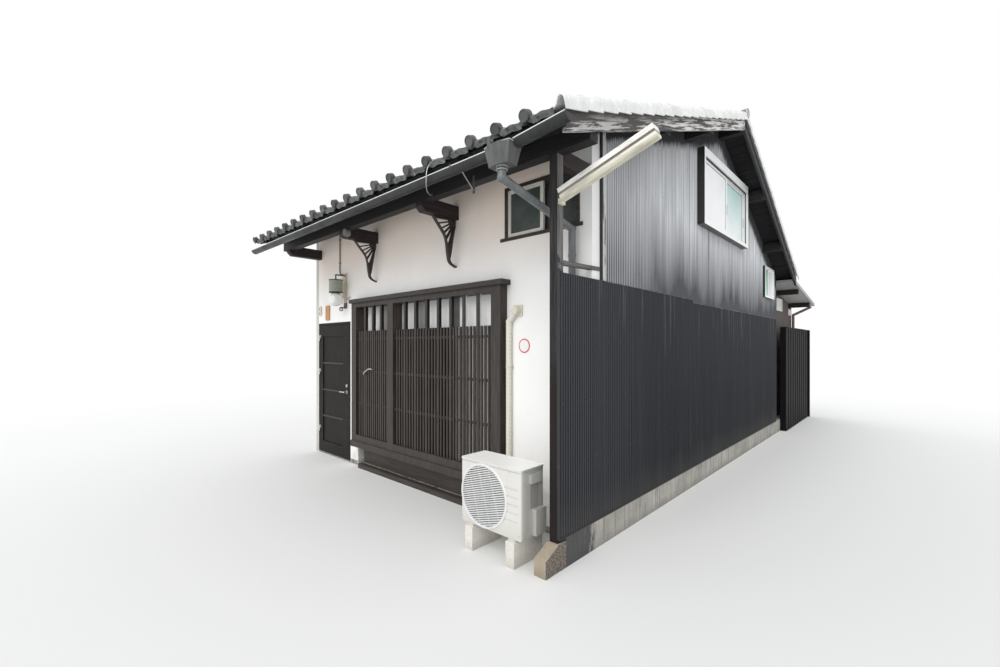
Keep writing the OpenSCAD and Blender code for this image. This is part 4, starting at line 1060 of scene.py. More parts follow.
def faded_sheet():
    """The upper storey's faded sheets."""
    mat, tree = material("faded_sheet", (0.3, 0.3, 0.32), 0.5)
    streaks, broad = sheet_streaks(tree, 26, 0.55), sheet_streaks(tree, 3.2, 0.35)
    tint = blotch(tree, (0.42, 0.43, 0.445), (0.82, 0.83, 0.845), streaks, 0.32, 0.68)
    tint = blotch(tree, tint, (0.40, 0.41, 0.43), broad, 0.35, 0.7, 0.5)
    tint = laps(tree, tint, 0.68, (0.72, 0.73, 0.74), 0.6)
    tint = fade(tree, (0.070, 0.073, 0.085), tint, ragged(tree, "Z", broad, 0.22), 2.25, 3.05)
    # Darker in the wave valleys: partly dirt and partly painted shade.
    tint = fade(tree, tint, (0.030, 0.031, 0.036), "X", -0.0180, -0.0118, 0.70, 0.0)
    # Near the street corner: painted shade in the valleys and a painted highlight on the crests.
    tint = near_waves(tree, tint, (1.1, 1.9), (-0.0150, -0.0090), (0.024, 0.025, 0.030),
                      (-0.0100, -0.0070), (0.62, 0.63, 0.65))
    shade = maths(tree, "MAXIMUM", span(tree, "Y", 0.8, 3.0, 0.09, 0.25),
                  span(tree, "Y", 3.9, 5.6, 0.10, 0.24))
    shade = times(tree, shade, swing(tree, streaks, 0.75, 1.25))
    depth = maths(tree, "DIVIDE", under_roof(tree), shade)
    tint = fade(tree, tint, (0.020, 0.021, 0.025), depth, 0.78, 1.18, 0.93, 0.0)
    return finished(mat, tint, noise(tree, 40, 4), 0.15, 0.001,
                    swing(tree, streaks, 0.42, 0.62))


def black_sheet():
    """The lower storey's darker sheets."""
    mat, tree = material("black_sheet", (0.04, 0.04, 0.05), 0.5, specular=0.22)
    streaks, broad = sheet_streaks(tree, 30, 0.5), sheet_streaks(tree, 2.4, 0.4)
    tint = blotch(tree, (0.012, 0.013, 0.016), (0.034, 0.036, 0.041), streaks, 0.35, 0.75)
    tint = blotch(tree, tint, (0.018, 0.0195, 0.024), broad, 0.35, 0.75, 0.6)
    tint = fade(tree, tint, (0.052, 0.055, 0.063), "Z", 0.9, 2.25, 0.0, 0.35)
    dusty = times(tree, grey_ramp(tree, sheet_streaks(tree, 34, 0.8), 0.55, 0.72),
                  span(tree, ragged(tree, "Z", broad, 0.25), 1.55, 2.15))
    tint = mix(tree, dusty, tint, (0.125, 0.132, 0.150))
    # Darker in the wave valleys: partly dirt and partly painted shade.
    tint = fade(tree, tint, (0.006, 0.0065, 0.008), "X", -0.0100, -0.0050, 0.65, 0.0)
    # Near the street corner: painted shade in the valleys and a painted highlight on the crests.
    tint = near_waves(tree, tint, (0.6, 1.6), (-0.0085, -0.0035), (0.005, 0.0055, 0.007),
                      (-0.0040, -0.0012), (0.072, 0.076, 0.085))
    tint = laps(tree, tint, 0.022, (0.050, 0.053, 0.060), 0.35)
    tint = blotch(tree, tint, (0.12, 0.12, 0.125), noise(tree, 16, 8, 0.7), 0.70, 0.78, 0.5)
    tint = fade(tree, tint, (0.060, 0.058, 0.054), ragged(tree, "Z", broad, 0.1), 0.22, 0.50,
                0.5, 0.0)
    return finished(mat, tint, noise(tree, 40, 4), 0.15, 0.001)


upper_sheet, lower_sheet = faded_sheet(), black_sheet()
print("sheet finishes")

# %% [markdown]
# Each sheet could be a flat wall with a bump, but the waves show along the edges and carry the
# light, so they are real. A one-row grid is stood upright and its columns pushed in and out as a
# cosine. Planes then trim it to the roof and cut the windows, and a solidify gives the sheet its
# thickness last.

# %% Corrugated sheets
WAVE_PITCH, WAVE_COLUMNS, SHEET_T = 0.032, 6, 0.0012
LAP_Y, LAP_HIGH, LAP_LOW = 2.70, 2.195, 2.160
UPPER_Y, LOWER_Y, WALL_END, SHEET_FOOT, SHEET_TOP = 0.680, 0.022, 7.060, 0.226, 4.6


def bent_grid(form, columns, rows, bend):
    """A grid whose points go where bend puts them, from shares of its width and its height."""
    made = bmesh.ops.create_grid(form, x_segments=columns, y_segments=rows, size=0.5)["verts"]
    low = min(vert.co.x for vert in made)
    wide = max(vert.co.x for vert in made) - low
    for vert in made:
        vert.co = Vector(((vert.co.x - low) / wide, (vert.co.y - low) / wide, 0))
        vert.co = Vector(bend(vert.co.x, vert.co.y))


def waves(form, y_low, y_high, z_low, z_high, mean, depth):
    """An upright sheet of small waves on the side wall."""
    count = round((y_high - y_low) / WAVE_PITCH)
    bent_grid(form, count * WAVE_COLUMNS, 1,
              lambda u, v: (mean + depth / 2 * math.cos(math.tau * count * u),
                            y_low + u * (y_high - y_low), z_low + v * (z_high - z_low)))


def slice_by(form, point, normal, clear=False):
    """Cuts a form by a plane; clear removes what lies on the normal's side."""
    geom = form.verts[:] + form.edges[:] + form.faces[:]
    bmesh.ops.bisect_plane(form, geom=geom, dist=1e-6, plane_co=point, plane_no=normal,
                           clear_outer=clear)


def cut_window(form, outline, inset):
    """Cuts a window's outline out of a sheet on the side wall."""
    y_low, y_high, z_low, z_high = (
        edge + way * inset for edge, way in zip(outline, (1, -1, 1, -1)))
    for point, normal in (((0, y_low, 0), (0, 1, 0)), ((0, y_high, 0), (0, 1, 0)),
                          ((0, 0, z_low), (0, 0, 1)), ((0, 0, z_high), (0, 0, 1))):
        slice_by(form, point, normal)
    hole = []
    for face in form.faces:
        middle = face.calc_center_median()
        if y_low < middle.y < y_high and z_low < middle.z < z_high:
            hole.append(face)
    bmesh.ops.delete(form, geom=hole, context="FACES")


def sheet_piece(name, form, finish):
    """Gives a sheet its thickness and makes it a piece."""
    bmesh.ops.recalc_face_normals(form, faces=form.faces[:])
    bmesh.ops.solidify(form, geom=form.faces[:], thickness=SHEET_T)
    return piece(name, form, finish, smooth=True)


form = bmesh.new()
waves(form, UPPER_Y, LAP_Y, LAP_HIGH, SHEET_TOP, -0.012, 0.012)
waves(form, LAP_Y, WALL_END, LAP_LOW, SHEET_TOP, -0.012, 0.012)
for slope, side in ((FRONT_SLOPE, -1), (REAR_SLOPE, 1)):
    slice_by(form, (0, RIDGE_Y, RIDGE_Z - 0.003), (0, side * slope, 1), clear=True)
cut_window(form, SIDE_WINDOW, 0.006)
cut_window(form, SMALL_WINDOW, 0.006)
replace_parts(sheet_piece("upper_waves", form, upper_sheet), "upper_cladding")

form = bmesh.new()
waves(form, LOWER_Y, LAP_Y, SHEET_FOOT, LAP_HIGH, -0.0055, 0.009)
waves(form, LAP_Y, WALL_END, SHEET_FOOT, LAP_LOW, -0.0055, 0.009)
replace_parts(sheet_piece("lower_waves", form, lower_sheet), "lower_cladding")

# %% [markdown]
# Corrugated sheet needs its dressings: a bright lap strip where the upper sheets end, folded
# corner beads, and a grid of dome-headed nails on the wave crests.

# %% Sheet dressings
NAIL_PITCH, NAIL_ROOM, NAIL_R, NAIL_OUT = 0.192, 0.03, 0.006, 0.0025
assemble("lap_strip", board, (((-0.0085, 0.660, 2.191), (-0.0005, LAP_Y, 2.197), 0.001),
                              ((-0.0085, LAP_Y, 2.157), (-0.0005, WALL_END, 2.163), 0.001)),
         painted("lap_strip", (0.075, 0.078, 0.088), (0.30, 0.31, 0.33), 0.62, 0.6))
assemble("corner_beads", board, (
    ((-0.0200, 0.0140, SHEET_FOOT), (0.0010, 0.0240, 2.200), 0.002),
    ((-0.0160, 7.0560, SHEET_FOOT), (0.0010, 7.0680, LAP_LOW), 0.002),
    ((-0.0190, 7.0560, LAP_LOW), (-0.0040, 7.0680, 2.960), 0.002),
    ((-0.0160, LOWER_Y, 0.2200), (0.0015, WALL_END, 0.2320), 0.001)),
         painted("bead_black", (0.020, 0.0205, 0.023), (0.075, 0.076, 0.080), 0.3, 0.5))


def nail_rows(name, heights, y_low, y_high, x, finish):
    """Rows of domed nail heads on the wave crests."""
    form = bmesh.new()
    for row, z in enumerate(heights):
        for i in range(int((y_high - y_low) / NAIL_PITCH)):
            y = y_low + NAIL_PITCH * (i + 0.5 * (row % 2)) + 0.01
            at_window = any(low_y - NAIL_ROOM < y < high_y + NAIL_ROOM
                            and low_z - NAIL_ROOM < z < high_z + NAIL_ROOM
                            for low_y, high_y, low_z, high_z in (SIDE_WINDOW, SMALL_WINDOW))
            slope = FRONT_SLOPE if y < RIDGE_Y else REAR_SLOPE
            if at_window or z > RIDGE_Z - slope * abs(RIDGE_Y - y) - 2 * NAIL_ROOM or y > y_high:
                continue
            rod(form, (x, y, z), (x + NAIL_OUT, y, z), NAIL_R, 8, 0.002)
    piece(name, form, finish)


nail_rows("upper_nails", (2.27, 2.73, 3.19, 3.65, 4.11, 4.40), 0.712, 7.02, -0.0063,
          painted("nail_steel", (0.15, 0.15, 0.16), (0.12, 0.10, 0.09), 0.4, 0.5, 0.2, 0.3))
nail_rows("lower_nails", (0.30, 0.76, 1.22, 1.68, 2.12), 0.054, 7.02, -0.0012,
          painted("nail_black", (0.034, 0.035, 0.039), (0.060, 0.053, 0.050), 0.35, 0.6, 0.2))

# %% [markdown]
# The roof is laid in grey fired pantiles. Copies of one tile with a slightly different seat and
# tone make the courses, because no two fired tiles lie or look quite alike. The tone is a colour
# that each copy's faces carry, and the finish reads it.

# %% Tile finish


def tone_layer(form):
    """The form's colour layer that holds each copy's own tone."""
    return form.loops.layers.float_color.get("tone") or form.loops.layers.float_color.new("tone")


def lay(form, shape, matrix, tone):
    """Adds a copy of a shape at a place with its own tone."""
    layer = tone_layer(form)
    verts, faces = len(form.verts), len(form.faces)
    form.from_mesh(shape)
    form.verts.ensure_lookup_table()
    form.faces.ensure_lookup_table()
    bmesh.ops.transform(form, matrix=matrix, verts=form.verts[verts:])
    for face in form.faces[faces:]:
        for loop in face.loops:
            loop[layer] = (tone, tone, tone, 1.0)


def fired_tile(name, dark, light, bloom, bloom_share):
    """Fired grey tile with a tone per tile and patches of weather."""
    mat, tree = material(name, dark, 0.45)
    tone = tree.nodes.new("ShaderNodeAttribute")
    tone.attribute_name = "tone"
    tint = mix(tree, tone.outputs["Fac"], dark, light)
    smoke = noise(tree, 9, 6, 0.6)
    tint = mix(tree, grey_ramp(tree, smoke, 0.35, 0.7, 0.35, 0.0), tint, darker(dark, 0.7))
    lichen = grey_ramp(tree, noise(tree, 17, 8, 0.66), 0.66 - 0.3 * bloom_share,
                       0.74 - 0.26 * bloom_share)
    return finished(mat, mix(tree, lichen, tint, bloom), maths(tree, "ADD", smoke, lichen),
                    0.35, 0.002, mix(tree, lichen, (0.45,) * 3, (0.9,) * 3))


pantile = fired_tile("pantile", (0.055, 0.057, 0.061), (0.52, 0.53, 0.535), (0.50, 0.50, 0.47),
                     0.15)
# Painted light: the verge tiles are the same grey tiles, near white for the bright sky they
# reflect.
rake_tile = fired_tile("rake_tile", (0.77, 0.775, 0.77), (0.93, 0.93, 0.92), (0.94, 0.935, 0.92),
                       0.5)
print("fired tile, grey and pale")

# %% [markdown]
# Each tile is one closed shape: a grid bent to a roll and a pan, a little higher at its nose than
# at its head, so that it rests on the tile below, and then thickened. An eave tile also has a drop
# edge and a plain round boss.

# %% Tile shapes
TILE_W, TILE_LAP, NOSE, TILE_COLUMNS = 0.263, 0.050, 0.016, 14
ROLL = 0.17


def tile_wave(u):
    """The height of a tile's roll and pan at a share of its width."""
    away = (u - ROLL + 0.5) % 1.0 - 0.5
    return 0.046 * math.exp(-(away / 0.130) ** 2) + 0.016 * (2 * away) ** 2 + 0.007 * (0.5 - u)


def shape_from(form, name):
    """Stores a form as a shape for copies, with its faces outwards."""
    bmesh.ops.recalc_face_normals(form, faces=form.faces[:])
    mesh = bpy.data.meshes.new(name)
    form.to_mesh(mesh)
    form.free()
    return mesh


def tile_shape(name, thickness, bend):
    """One row of faces bent along a tile's width, thickened."""
    form = bmesh.new()
    bent_grid(form, TILE_COLUMNS, 1, bend)
    bmesh.ops.solidify(form, geom=form.faces[:], thickness=thickness)
    return shape_from(form, name)


def pantile_shape(length):
    """One pantile, nose at the origin and lying up the slope."""
    return tile_shape("pantile_shape", 0.013, lambda u, v: (
        u * (TILE_W + 0.012), v * length, tile_wave(u) + NOSE * (1 - v)))


def eave_shape():
    """The drop edge that closes an eave tile's nose."""
    return tile_shape("eave_shape", 0.012, lambda u, v: (
        u * (TILE_W + 0.004), -0.012, tile_wave(u) + NOSE + 0.004 - 0.034 * v))


def boss_shape():
    """The plain round boss on an eave tile's roll."""
    form = bmesh.new()
    middle = (ROLL * TILE_W, -0.024, 0.030 + NOSE)
    rod(form, middle, (middle[0], 0.020, middle[2]), 0.042, 24)
    ring(form, middle, (0, 1, 0), 0.0365, 0.0045, 24, 6)
    return shape_from(form, "boss_shape")


# %% [markdown]
# The courses climb from each eave to the ridge. The tiler thinks up the slope, so each side has
# its own axes: across, up the slope and out of it.

# %% Courses
COLUMNS = 20
SEAT = 0.0175
ROOF_LEFT = -5.018


def roof_side(sign, eave, slope, rows, first):
    """What a tiler needs of one side: its axes, its eave's depth and height, and its rows."""
    across = Vector((sign, 0, 0))
    up = Vector((0, sign * math.cos(math.atan(slope)), math.sin(math.atan(slope))))
    reach = abs(RIDGE_Y - eave)
    return {"sign": sign, "first": first, "across": across, "up": up, "normal": across.cross(up),
            "eave": (eave, RIDGE_Z - slope * reach), "rows": rows,
            "step": reach * math.hypot(1, slope) / rows}


SIDES = {"front": roof_side(1, -0.375, FRONT_SLOPE, 20, ROOF_LEFT),
         "rear": roof_side(-1, 7.235, REAR_SLOPE, 18, 0.257)}


def slope_matrix(side, x, run, lift, yaw=0.0):
    """A place on the slope: x across, run up from the eave, lift over the boards' underside."""
    seat = Vector((x, *side["eave"])) + side["up"] * run + side["normal"] * lift
    base = Matrix((side["across"], side["up"], side["normal"])).transposed().to_4x4()
    return Matrix.Translation(seat) @ base @ Matrix.Rotation(yaw, 4, "Z")


def lay_slope(name):
    """All pantiles of one slope."""
    side = SIDES[name]
    columns = [side["first"] + side["sign"] * TILE_W * column for column in range(COLUMNS)]
    shape = pantile_shape(side["step"] + TILE_LAP)
    form = bmesh.new()
    for row in range(side["rows"]):
        for x in columns:
            lift = SEAT + random.uniform(0, 0.002)
            run = row * side["step"] + random.uniform(-0.003, 0.003)
            matrix = slope_matrix(side, x, run, lift, random.uniform(-0.006, 0.006))
            lay(form, shape, matrix, random.uniform(0.45, 0.75))
    edge, boss = eave_shape(), boss_shape()
    for x in columns:
        lay(form, edge, slope_matrix(side, x, 0.0, SEAT), random.uniform(0.4, 0.7))
        # The bosses take the darkest tones: painted shade on the tile ends along the eave.
        lay(form, boss, slope_matrix(side, x, 0.0, SEAT), random.uniform(0.0, 0.12))
    done = piece("pantiles_" + name, form, pantile, smooth=True)
    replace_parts(done, "roof_tiles_" + name)


random.seed(7)
lay_slope("front")
lay_slope("rear")

# %% [markdown]
# The verge tiles turn down over the gable: a flat that laps the last pantile, a roll, and a flap
# that hides the roof boards' ends. One bent grid per course makes them as well.

# %% Verge tiles
VERGE_X, VERGE_SEAT = 0.229, 0.0215
VERGE = [(0.000, 0.010), (0.020, 0.010), (0.034, 0.020), (0.042, 0.042), (0.056, 0.060),
         (0.076, 0.066), (0.095, 0.058), (0.106, 0.040), (0.108, 0.014), (0.108, -0.012),
         (0.108, -0.034)]


def verge_shape(length, sign):
    """One verge tile, nose at the origin; the sign mirrors it for the other slope."""
    def bend(u, v):
        out, high = VERGE[round(u * (len(VERGE) - 1))]
        return sign * out, v * length, high + NOSE * (1 - v)
    form = bmesh.new()
    bent_grid(form, len(VERGE) - 1, 1, bend)
    bmesh.ops.recalc_face_normals(form, faces=form.faces[:])
    bmesh.ops.solidify(form, geom=form.faces[:], thickness=0.010)
    return shape_from(form, "verge_shape")


form = bmesh.new()
for side in SIDES.values():
    shape = verge_shape(side["step"] + 0.035, side["sign"])
    for row in range(side["rows"]):
        lift = VERGE_SEAT + random.uniform(0, 0.002)
        matrix = slope_matrix(side, VERGE_X, row * side["step"], lift,
                              random.uniform(-0.004, 0.004))
        lay(form, shape, matrix, random.uniform(0.0, 1.0))
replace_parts(piece("verge_tiles", form, rake_tile, smooth=True), "rake_tiles")

# %% [markdown]
# The ridge is a bed of plaster, two courses of flat tiles that step inwards, and a row of
# half-round caps, each with a collar over the next. The last cap ends in a plain round boss.

# %% Ridge
FLAT_LENGTH, FLAT_PITCH, CAP_PITCH, BOSS_Z = 0.294, 0.297, 0.2677, 4.650
assemble("ridge_bed", board,
         [((ROOF_LEFT, RIDGE_Y - 0.098, 4.585), (0.300, RIDGE_Y + 0.098, 4.612), 0.004)],
         grey_plaster)


def flat_course_shape(half):
    """One flat ridge tile, centred across the ridge."""
    form = bmesh.new()
    board(form, (0.0, -half, 0.0), (FLAT_LENGTH, half, 0.020), 0.004)
    return shape_from(form, "flat_ridge_tile")


def cap_shape():
    """One ridge cap with its collar."""
    form = bmesh.new()
    rod(form, (0.0, 0, 0), (0.262, 0, 0), 0.058, 24)
    rod(form, (0.0, 0, 0), (0.036, 0, 0), 0.064, 24, 0.062)
    return shape_from(form, "ridge_cap")


form = bmesh.new()
for level, (half, low) in enumerate(((0.118, 4.610), (0.104, 4.631))):
    shape = flat_course_shape(half)
    for i in range(18):
        x = ROOF_LEFT + FLAT_PITCH * i + 0.14 * level * (i > 0)
        if x + FLAT_LENGTH < 0.345:
            seat = Vector((x, RIDGE_Y + random.uniform(-0.003, 0.003), low))
            lay(form, shape, Matrix.Translation(seat), random.uniform(0.1, 0.9))
shape = cap_shape()
for i in range(20):
    lay(form, shape, Matrix.Translation((0.068 - CAP_PITCH * i, RIDGE_Y, 4.6525)),
        random.uniform(0.2, 1.0))
rod(form, (0.325, RIDGE_Y, BOSS_Z), (0.340, RIDGE_Y, BOSS_Z), 0.066, 28, 0.064)
ring(form, (0.341, RIDGE_Y, BOSS_Z), (1, 0, 0), 0.050, 0.004, 32)
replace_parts(piece("ridge_courses", form, pantile, smooth=True), "ridge_tiles")

# %% [markdown]
# The outdoor unit's guard is a round nest of thin bars that run aslant, held by a rim. The frame's
# guard is only a few rings, so it is replaced: each bar ends where the circle does, and the rim is
# a small circle spun once round the fan's axis. Behind it a three-bladed fan sits in the mouth; a
# blade is a grid bent and twisted, then thickened.

# %% Fan guard
GUARD_R, GUARD_FACE = 0.2385, FAN.y - 0.006
SLANT = math.radians(17)
along = Vector((math.cos(SLANT), 0, math.sin(SLANT)))
over = Vector((-math.sin(SLANT), 0, math.cos(SLANT)))


def guard_bars(form, count, pitch, way, step, out, radius, sides):
    """Parallel bars on both sides of the middle one, each as long as the guard is wide there."""
    for i in range(-count, count + 1):
        reach = math.sqrt(GUARD_R ** 2 - (pitch * i) ** 2)
        centre = Vector((FAN.x, GUARD_FACE + out, FAN.z)) + step * (pitch * i)
        rod(form, centre - way * reach, centre + way * reach, radius, sides)


bead_white = weathered_plastic("bead_white", (0.80, 0.81, 0.81), (0.66, 0.67, 0.66), 0.35)
form = bmesh.new()
guard_bars(form, 13, 0.0172, along, over, 0.004, 0.0052, 8)
guard_bars(form, 1, 0.110, over, along, 0.0105, 0.0030, 6)
ring(form, (FAN.x, GUARD_FACE + 0.001, FAN.z), (0, 1, 0), 0.2405, 0.0058, 64, 8)
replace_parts(piece("fan_guard", form, ivory_wire, smooth=True), "ac_grille")
assemble("guard_rim", ring, [((FAN.x, FAN.y - 0.002, FAN.z), (0, 1, 0), 0.2480, 0.0070, 72, 10)],
         bead_white, smooth=True)

# %% Fan blades


def blade_bend(start):
    """Where the points of a blade go that starts at an angle: out from the hub, and twisted."""
    def bend(u, v):
        reach = 0.050 + 0.170 * v
        turn = start + (u - 0.5) * (1.5 - 0.5 * v) + 0.25 * v
        return (FAN.x + reach * math.cos(turn), FAN.y + 0.020 - 0.018 * (u - 0.5),
                FAN.z + reach * math.sin(turn))
    return bend


form = bmesh.new()
for i in range(3):
    bent_grid(form, 8, 6, blade_bend(math.tau * i / 3))
bmesh.ops.solidify(form, geom=form.faces[:], thickness=0.002)
rod(form, (FAN.x, FAN.y + 0.006, FAN.z), (FAN.x, FAN.y + 0.0275, FAN.z), 0.055, 32, 0.060)
piece("fan_blades", form, fan_grey, smooth=True)

# %% [markdown]
# The casing is folded from a few sheets. The lid's edge and the side panel's edge read as fine
# dark seams, and small screws hold the panels.

# %% Casing screws and seams
front_screws = ((-0.855, 0.245), (-0.855, 0.700), (-0.235, 0.245), (-0.330, 0.700))
side_screws = ((-0.12, 0.235), (0.09, 0.235), (0.09, 0.62), (-0.12, 0.62))
assemble("casing_screws", rod,
         [((x, -0.1625, z), (x, -0.1590, z), 0.0045, 10, 0.005) for x, z in front_screws]
         + [((-0.2175, y, z), (-0.2210, y, z), 0.0045, 10, 0.005) for y, z in side_screws],
         steel)
assemble("casing_seams", board, (
    ((-0.2215, -0.080, 0.232), (-0.2185, -0.076, 0.700), 0.0008),
    ((-0.8600, -0.1612, 0.7060), (-0.2300, -0.1590, 0.7085), 0.0006),
    ((-0.2215, -0.1500, 0.7060), (-0.2185, 0.1100, 0.7085), 0.0006)),
         painted("seam_grey", (0.34, 0.33, 0.30), (0.25, 0.22, 0.18), 0.2))

# %% [markdown]
# The taped pipe leaves the room through a round sleeve under a moulded cover, and a saddle holds it
# to the plaster.

# %% Pipe cover and saddle
WALL_Y = 0.500
form = bmesh.new()
rod(form, (-0.806, 0.440, 1.978), (-0.806, WALL_Y, 1.978), 0.040, 28, 0.046)
rod(form, (-0.806, 0.432, 1.978), (-0.806, 0.441, 1.978), 0.033, 28, 0.040)
board(form, (-0.860, 0.486, 1.925), (-0.752, WALL_Y, 2.032), 0.006)
board(form, (-0.9500, 0.4900, 1.4400), (-0.8640, WALL_Y, 1.4640), 0.002)
ring(form, (-0.900, 0.470, 1.452), (0, 0, 1), 0.0315, 0.0035, 32, 6)
piece("pipe_cover", form, cream_plastic, smooth=True)

# %% [markdown]
# The gutter's rim is rolled over a bead, and a white rod along it is a painted highlight: the thin
# line of sky that the rim catches along the whole eave. A wire brace bows round the gutter, a stay
# holds it off the eave beam, and both are as thin as on the house.

# %% Gutter bead and braces
GUTTER_Y, GUTTER_R = -0.392, 0.050
BEAD_Y = GUTTER_Y - GUTTER_R + 0.003
# Painted highlight: a white rod along the dark gutter's rim and its rising end.
assemble("gutter_bead", rod, (
    ((-5.0195, BEAD_Y, 3.0175), (-0.285, BEAD_Y, 3.0175), 0.0046, 10),
    ((-0.051, BEAD_Y, 3.0275), (0.364, BEAD_Y, 3.0650), 0.0046, 10)),
         bead_white, smooth=True)
bent_wire("gutter_brace", [
    (-0.975, -0.340, 3.150), (-0.962, -0.405, 3.128), (-0.952, -0.452, 3.060),
    (-0.955, -0.458, 2.990), (-1.010, -0.415, 2.945), (-1.180, -0.250, 2.965),
    (-1.360, -0.090, 3.045), (-1.460, 0.003, 3.095)], 0.0040, galvanised)
assemble("gutter_stay", rod, [((-0.604, GUTTER_Y, 2.970), (-0.884, -0.004, 2.990), 0.0055, 10)],
         galvanised, smooth=True)
assemble("gutter_clips", board, (
    ((-0.896, -0.006, 2.968), (-0.872, 0.0015, 3.120), 0.002),
    ((-0.696, -0.4450, 3.004), (-0.672, -0.4380, 3.030), 0.002),
    ((-1.472, -0.006, 3.082), (-1.448, 0.0015, 3.110), 0.002)), dark_hook)

# %% [markdown]
# Downpipe and hopper get the bands and the rolled edges that a moulded fitting has.

# %% Hopper rim
RIM_Z = 3.0145
form = bmesh.new()
corners = [(-0.285, -0.340), (-0.051, -0.340), (-0.051, -0.472), (-0.131, -0.4945),
           (-0.205, -0.4945), (-0.285, -0.472)]
for here, there in zip(corners, corners[1:] + corners[:1]):
    rod(form, (*here, RIM_Z), (*there, RIM_Z), 0.0045, 8)
for z in (2.8735, 2.8515):
    ring(form, (-0.168, -0.420, z), (0, 0, 1), 0.0385, 0.003, 40, 8)
rim_plastic = weathered_plastic("rim_plastic", (0.42, 0.43, 0.43), (0.56, 0.57, 0.56), 0.35)
piece("hopper_rim", form, rim_plastic, smooth=True)

# %% [markdown]
# The side windows slide in two tracks. Dark rubber round each pane and the shade in the mouth of
# the tracks draw the lines that make a window read as one, so they are modelled as thin strips;
# the strips in the tracks' mouth are painted shade.

# %% Window rubbers
STRIP = 0.0030
rubber = weathered_plastic("rubber", (0.028, 0.029, 0.030), (0.07, 0.07, 0.07), 0.6)


def strip_frame(form, x, y_low, y_high, z_low, z_high, width):
    """A thin rectangular strip on a face that looks sideways."""
    for low, high in (((y_low, z_low), (y_low + width, z_high)),
                      ((y_high - width, z_low), (y_high, z_high)),
                      ((y_low + width, z_low), (y_high - width, z_low + width)),
                      ((y_low + width, z_high - width), (y_high - width, z_high))):
        board(form, (x, *low), (x + STRIP, *high), 0.001)


form = bmesh.new()
strip_frame(form, 0.0388, 2.958, 3.801, 3.208, 3.897, 0.007)
strip_frame(form, 0.0128, 3.841, 4.682, 3.208, 3.897, 0.007)
# Painted shade in the mouth of the tracks: thin dark strips along the top, foot and right side.
board(form, (0.0500, 2.9155, 3.922), (0.0640, 4.7245, 3.9395), 0.001)
board(form, (0.0500, 2.9155, 3.1655), (0.0600, 4.7245, 3.1740), 0.001)
board(form, (0.0500, 4.7150, 3.1660), (0.0600, 4.7245, 3.9390), 0.001)
strip_frame(form, -0.0055, 6.082, 6.388, 2.522, 3.018, 0.005)
strip_frame(form, -0.0055, 6.422, 6.728, 2.522, 3.018, 0.005)
piece("window_rubbers", form, rubber)
assemble("sash_pulls", board, (
    ((0.0500, 3.822, 3.420), (0.0575, 3.832, 3.560), 0.002),
    ((0.0240, 4.690, 3.420), (0.0310, 4.702, 3.560), 0.002)), galvanised)

# %% [markdown]
# A turned steel hook hangs on the lattice from a round rose, and its free end rests on another.

# %% Lattice hook
assemble("hook_roses", rod, (
    ((-3.215, 0.423, 1.346), (-3.215, 0.405, 1.346), 0.017, 16, 0.014),
    ((-3.395, 0.423, 1.290), (-3.395, 0.405, 1.290), 0.010, 12)), dark_hook, smooth=True)
bent_wire("lattice_hook", [
    (-3.215, 0.408, 1.346), (-3.225, 0.392, 1.352), (-3.270, 0.388, 1.350),
    (-3.330, 0.388, 1.325), (-3.385, 0.390, 1.296), (-3.405, 0.398, 1.278)],
          0.0080, galvanised)

# %% [markdown]
# Small fittings hang beside and above the door: a bare wooden name board, and a door phone with a
# lens, a slotted speaker and one button. A conduit runs down to the wall lamp, and a round
# junction box hangs under the eave beam.

# %% Name board and door phone
PHONE_X = -4.867
assemble("name_board", board, [((-4.676, 0.482, 2.040), (-4.556, WALL_Y, 2.262), 0.004)],
         timber("honey", (0.50, 0.24, 0.095), (0.68, 0.38, 0.17), 0.5, ALONG_Z))
assemble("door_phone", board, (((-4.910, 0.474, 2.120), (-4.824, WALL_Y, 2.264), 0.006),
                               ((-4.902, 0.4725, 2.128), (-4.832, 0.4745, 2.178), 0.001)),
         cream_plastic)
form = bmesh.new()
rod(form, (PHONE_X, 0.4715, 2.226), (PHONE_X, 0.4745, 2.226), 0.011, 20)
for i in range(4):
    board(form, (-4.890, 0.4718, 2.136 + 0.009 * i), (-4.844, 0.4730, 2.139 + 0.009 * i), 0.0005)
piece("door_phone_face", form, rubber)
assemble("door_phone_button", rod,
         [((PHONE_X, 0.4700, 2.194), (PHONE_X, 0.4745, 2.194), 0.009, 20, 0.008)],
         bead_white, smooth=True)

# %% Junction box and conduit
BOX_X, BOX_Z, CONDUIT_X, CONDUIT_Y = -3.155, 3.032, -4.232, 0.489
conduit_tan = weathered_plastic("conduit_tan", (0.22, 0.18, 0.14), (0.36, 0.31, 0.26), 0.5)
assemble("junction_box", rod, (
    ((BOX_X, 0.000, BOX_Z), (BOX_X, 0.056, BOX_Z), 0.046, 24),
    ((BOX_X, -0.008, BOX_Z), (BOX_X, 0.001, BOX_Z), 0.041, 24, 0.046),
    ((BOX_X, 0.030, 3.000), (BOX_X, 0.030, 2.978), 0.012, 12)),
         weathered_plastic("box_grey", (0.20, 0.19, 0.19), (0.34, 0.33, 0.32), 0.5),
         smooth=True)
bent_wire("conduit", [(x, CONDUIT_Y, z) for x, z in (
    (CONDUIT_X, 3.385), (CONDUIT_X, 3.150), (CONDUIT_X, 2.900), (CONDUIT_X, 2.735),
    (-4.222, 2.700), (-4.190, 2.688), (-4.140, 2.686))], 0.0085, conduit_tan)
assemble("conduit_saddles", board, [
    ((CONDUIT_X - 0.020, 0.4800, z - 0.008), (CONDUIT_X + 0.020, WALL_Y, z + 0.008), 0.002)
    for z in (3.20, 2.86)], conduit_tan)

# %% [markdown]
# A small round plate on the white wall is bare but for its red rim. It is a stack of two thin
# discs, the front one a little smaller, so the rim has a real edge.

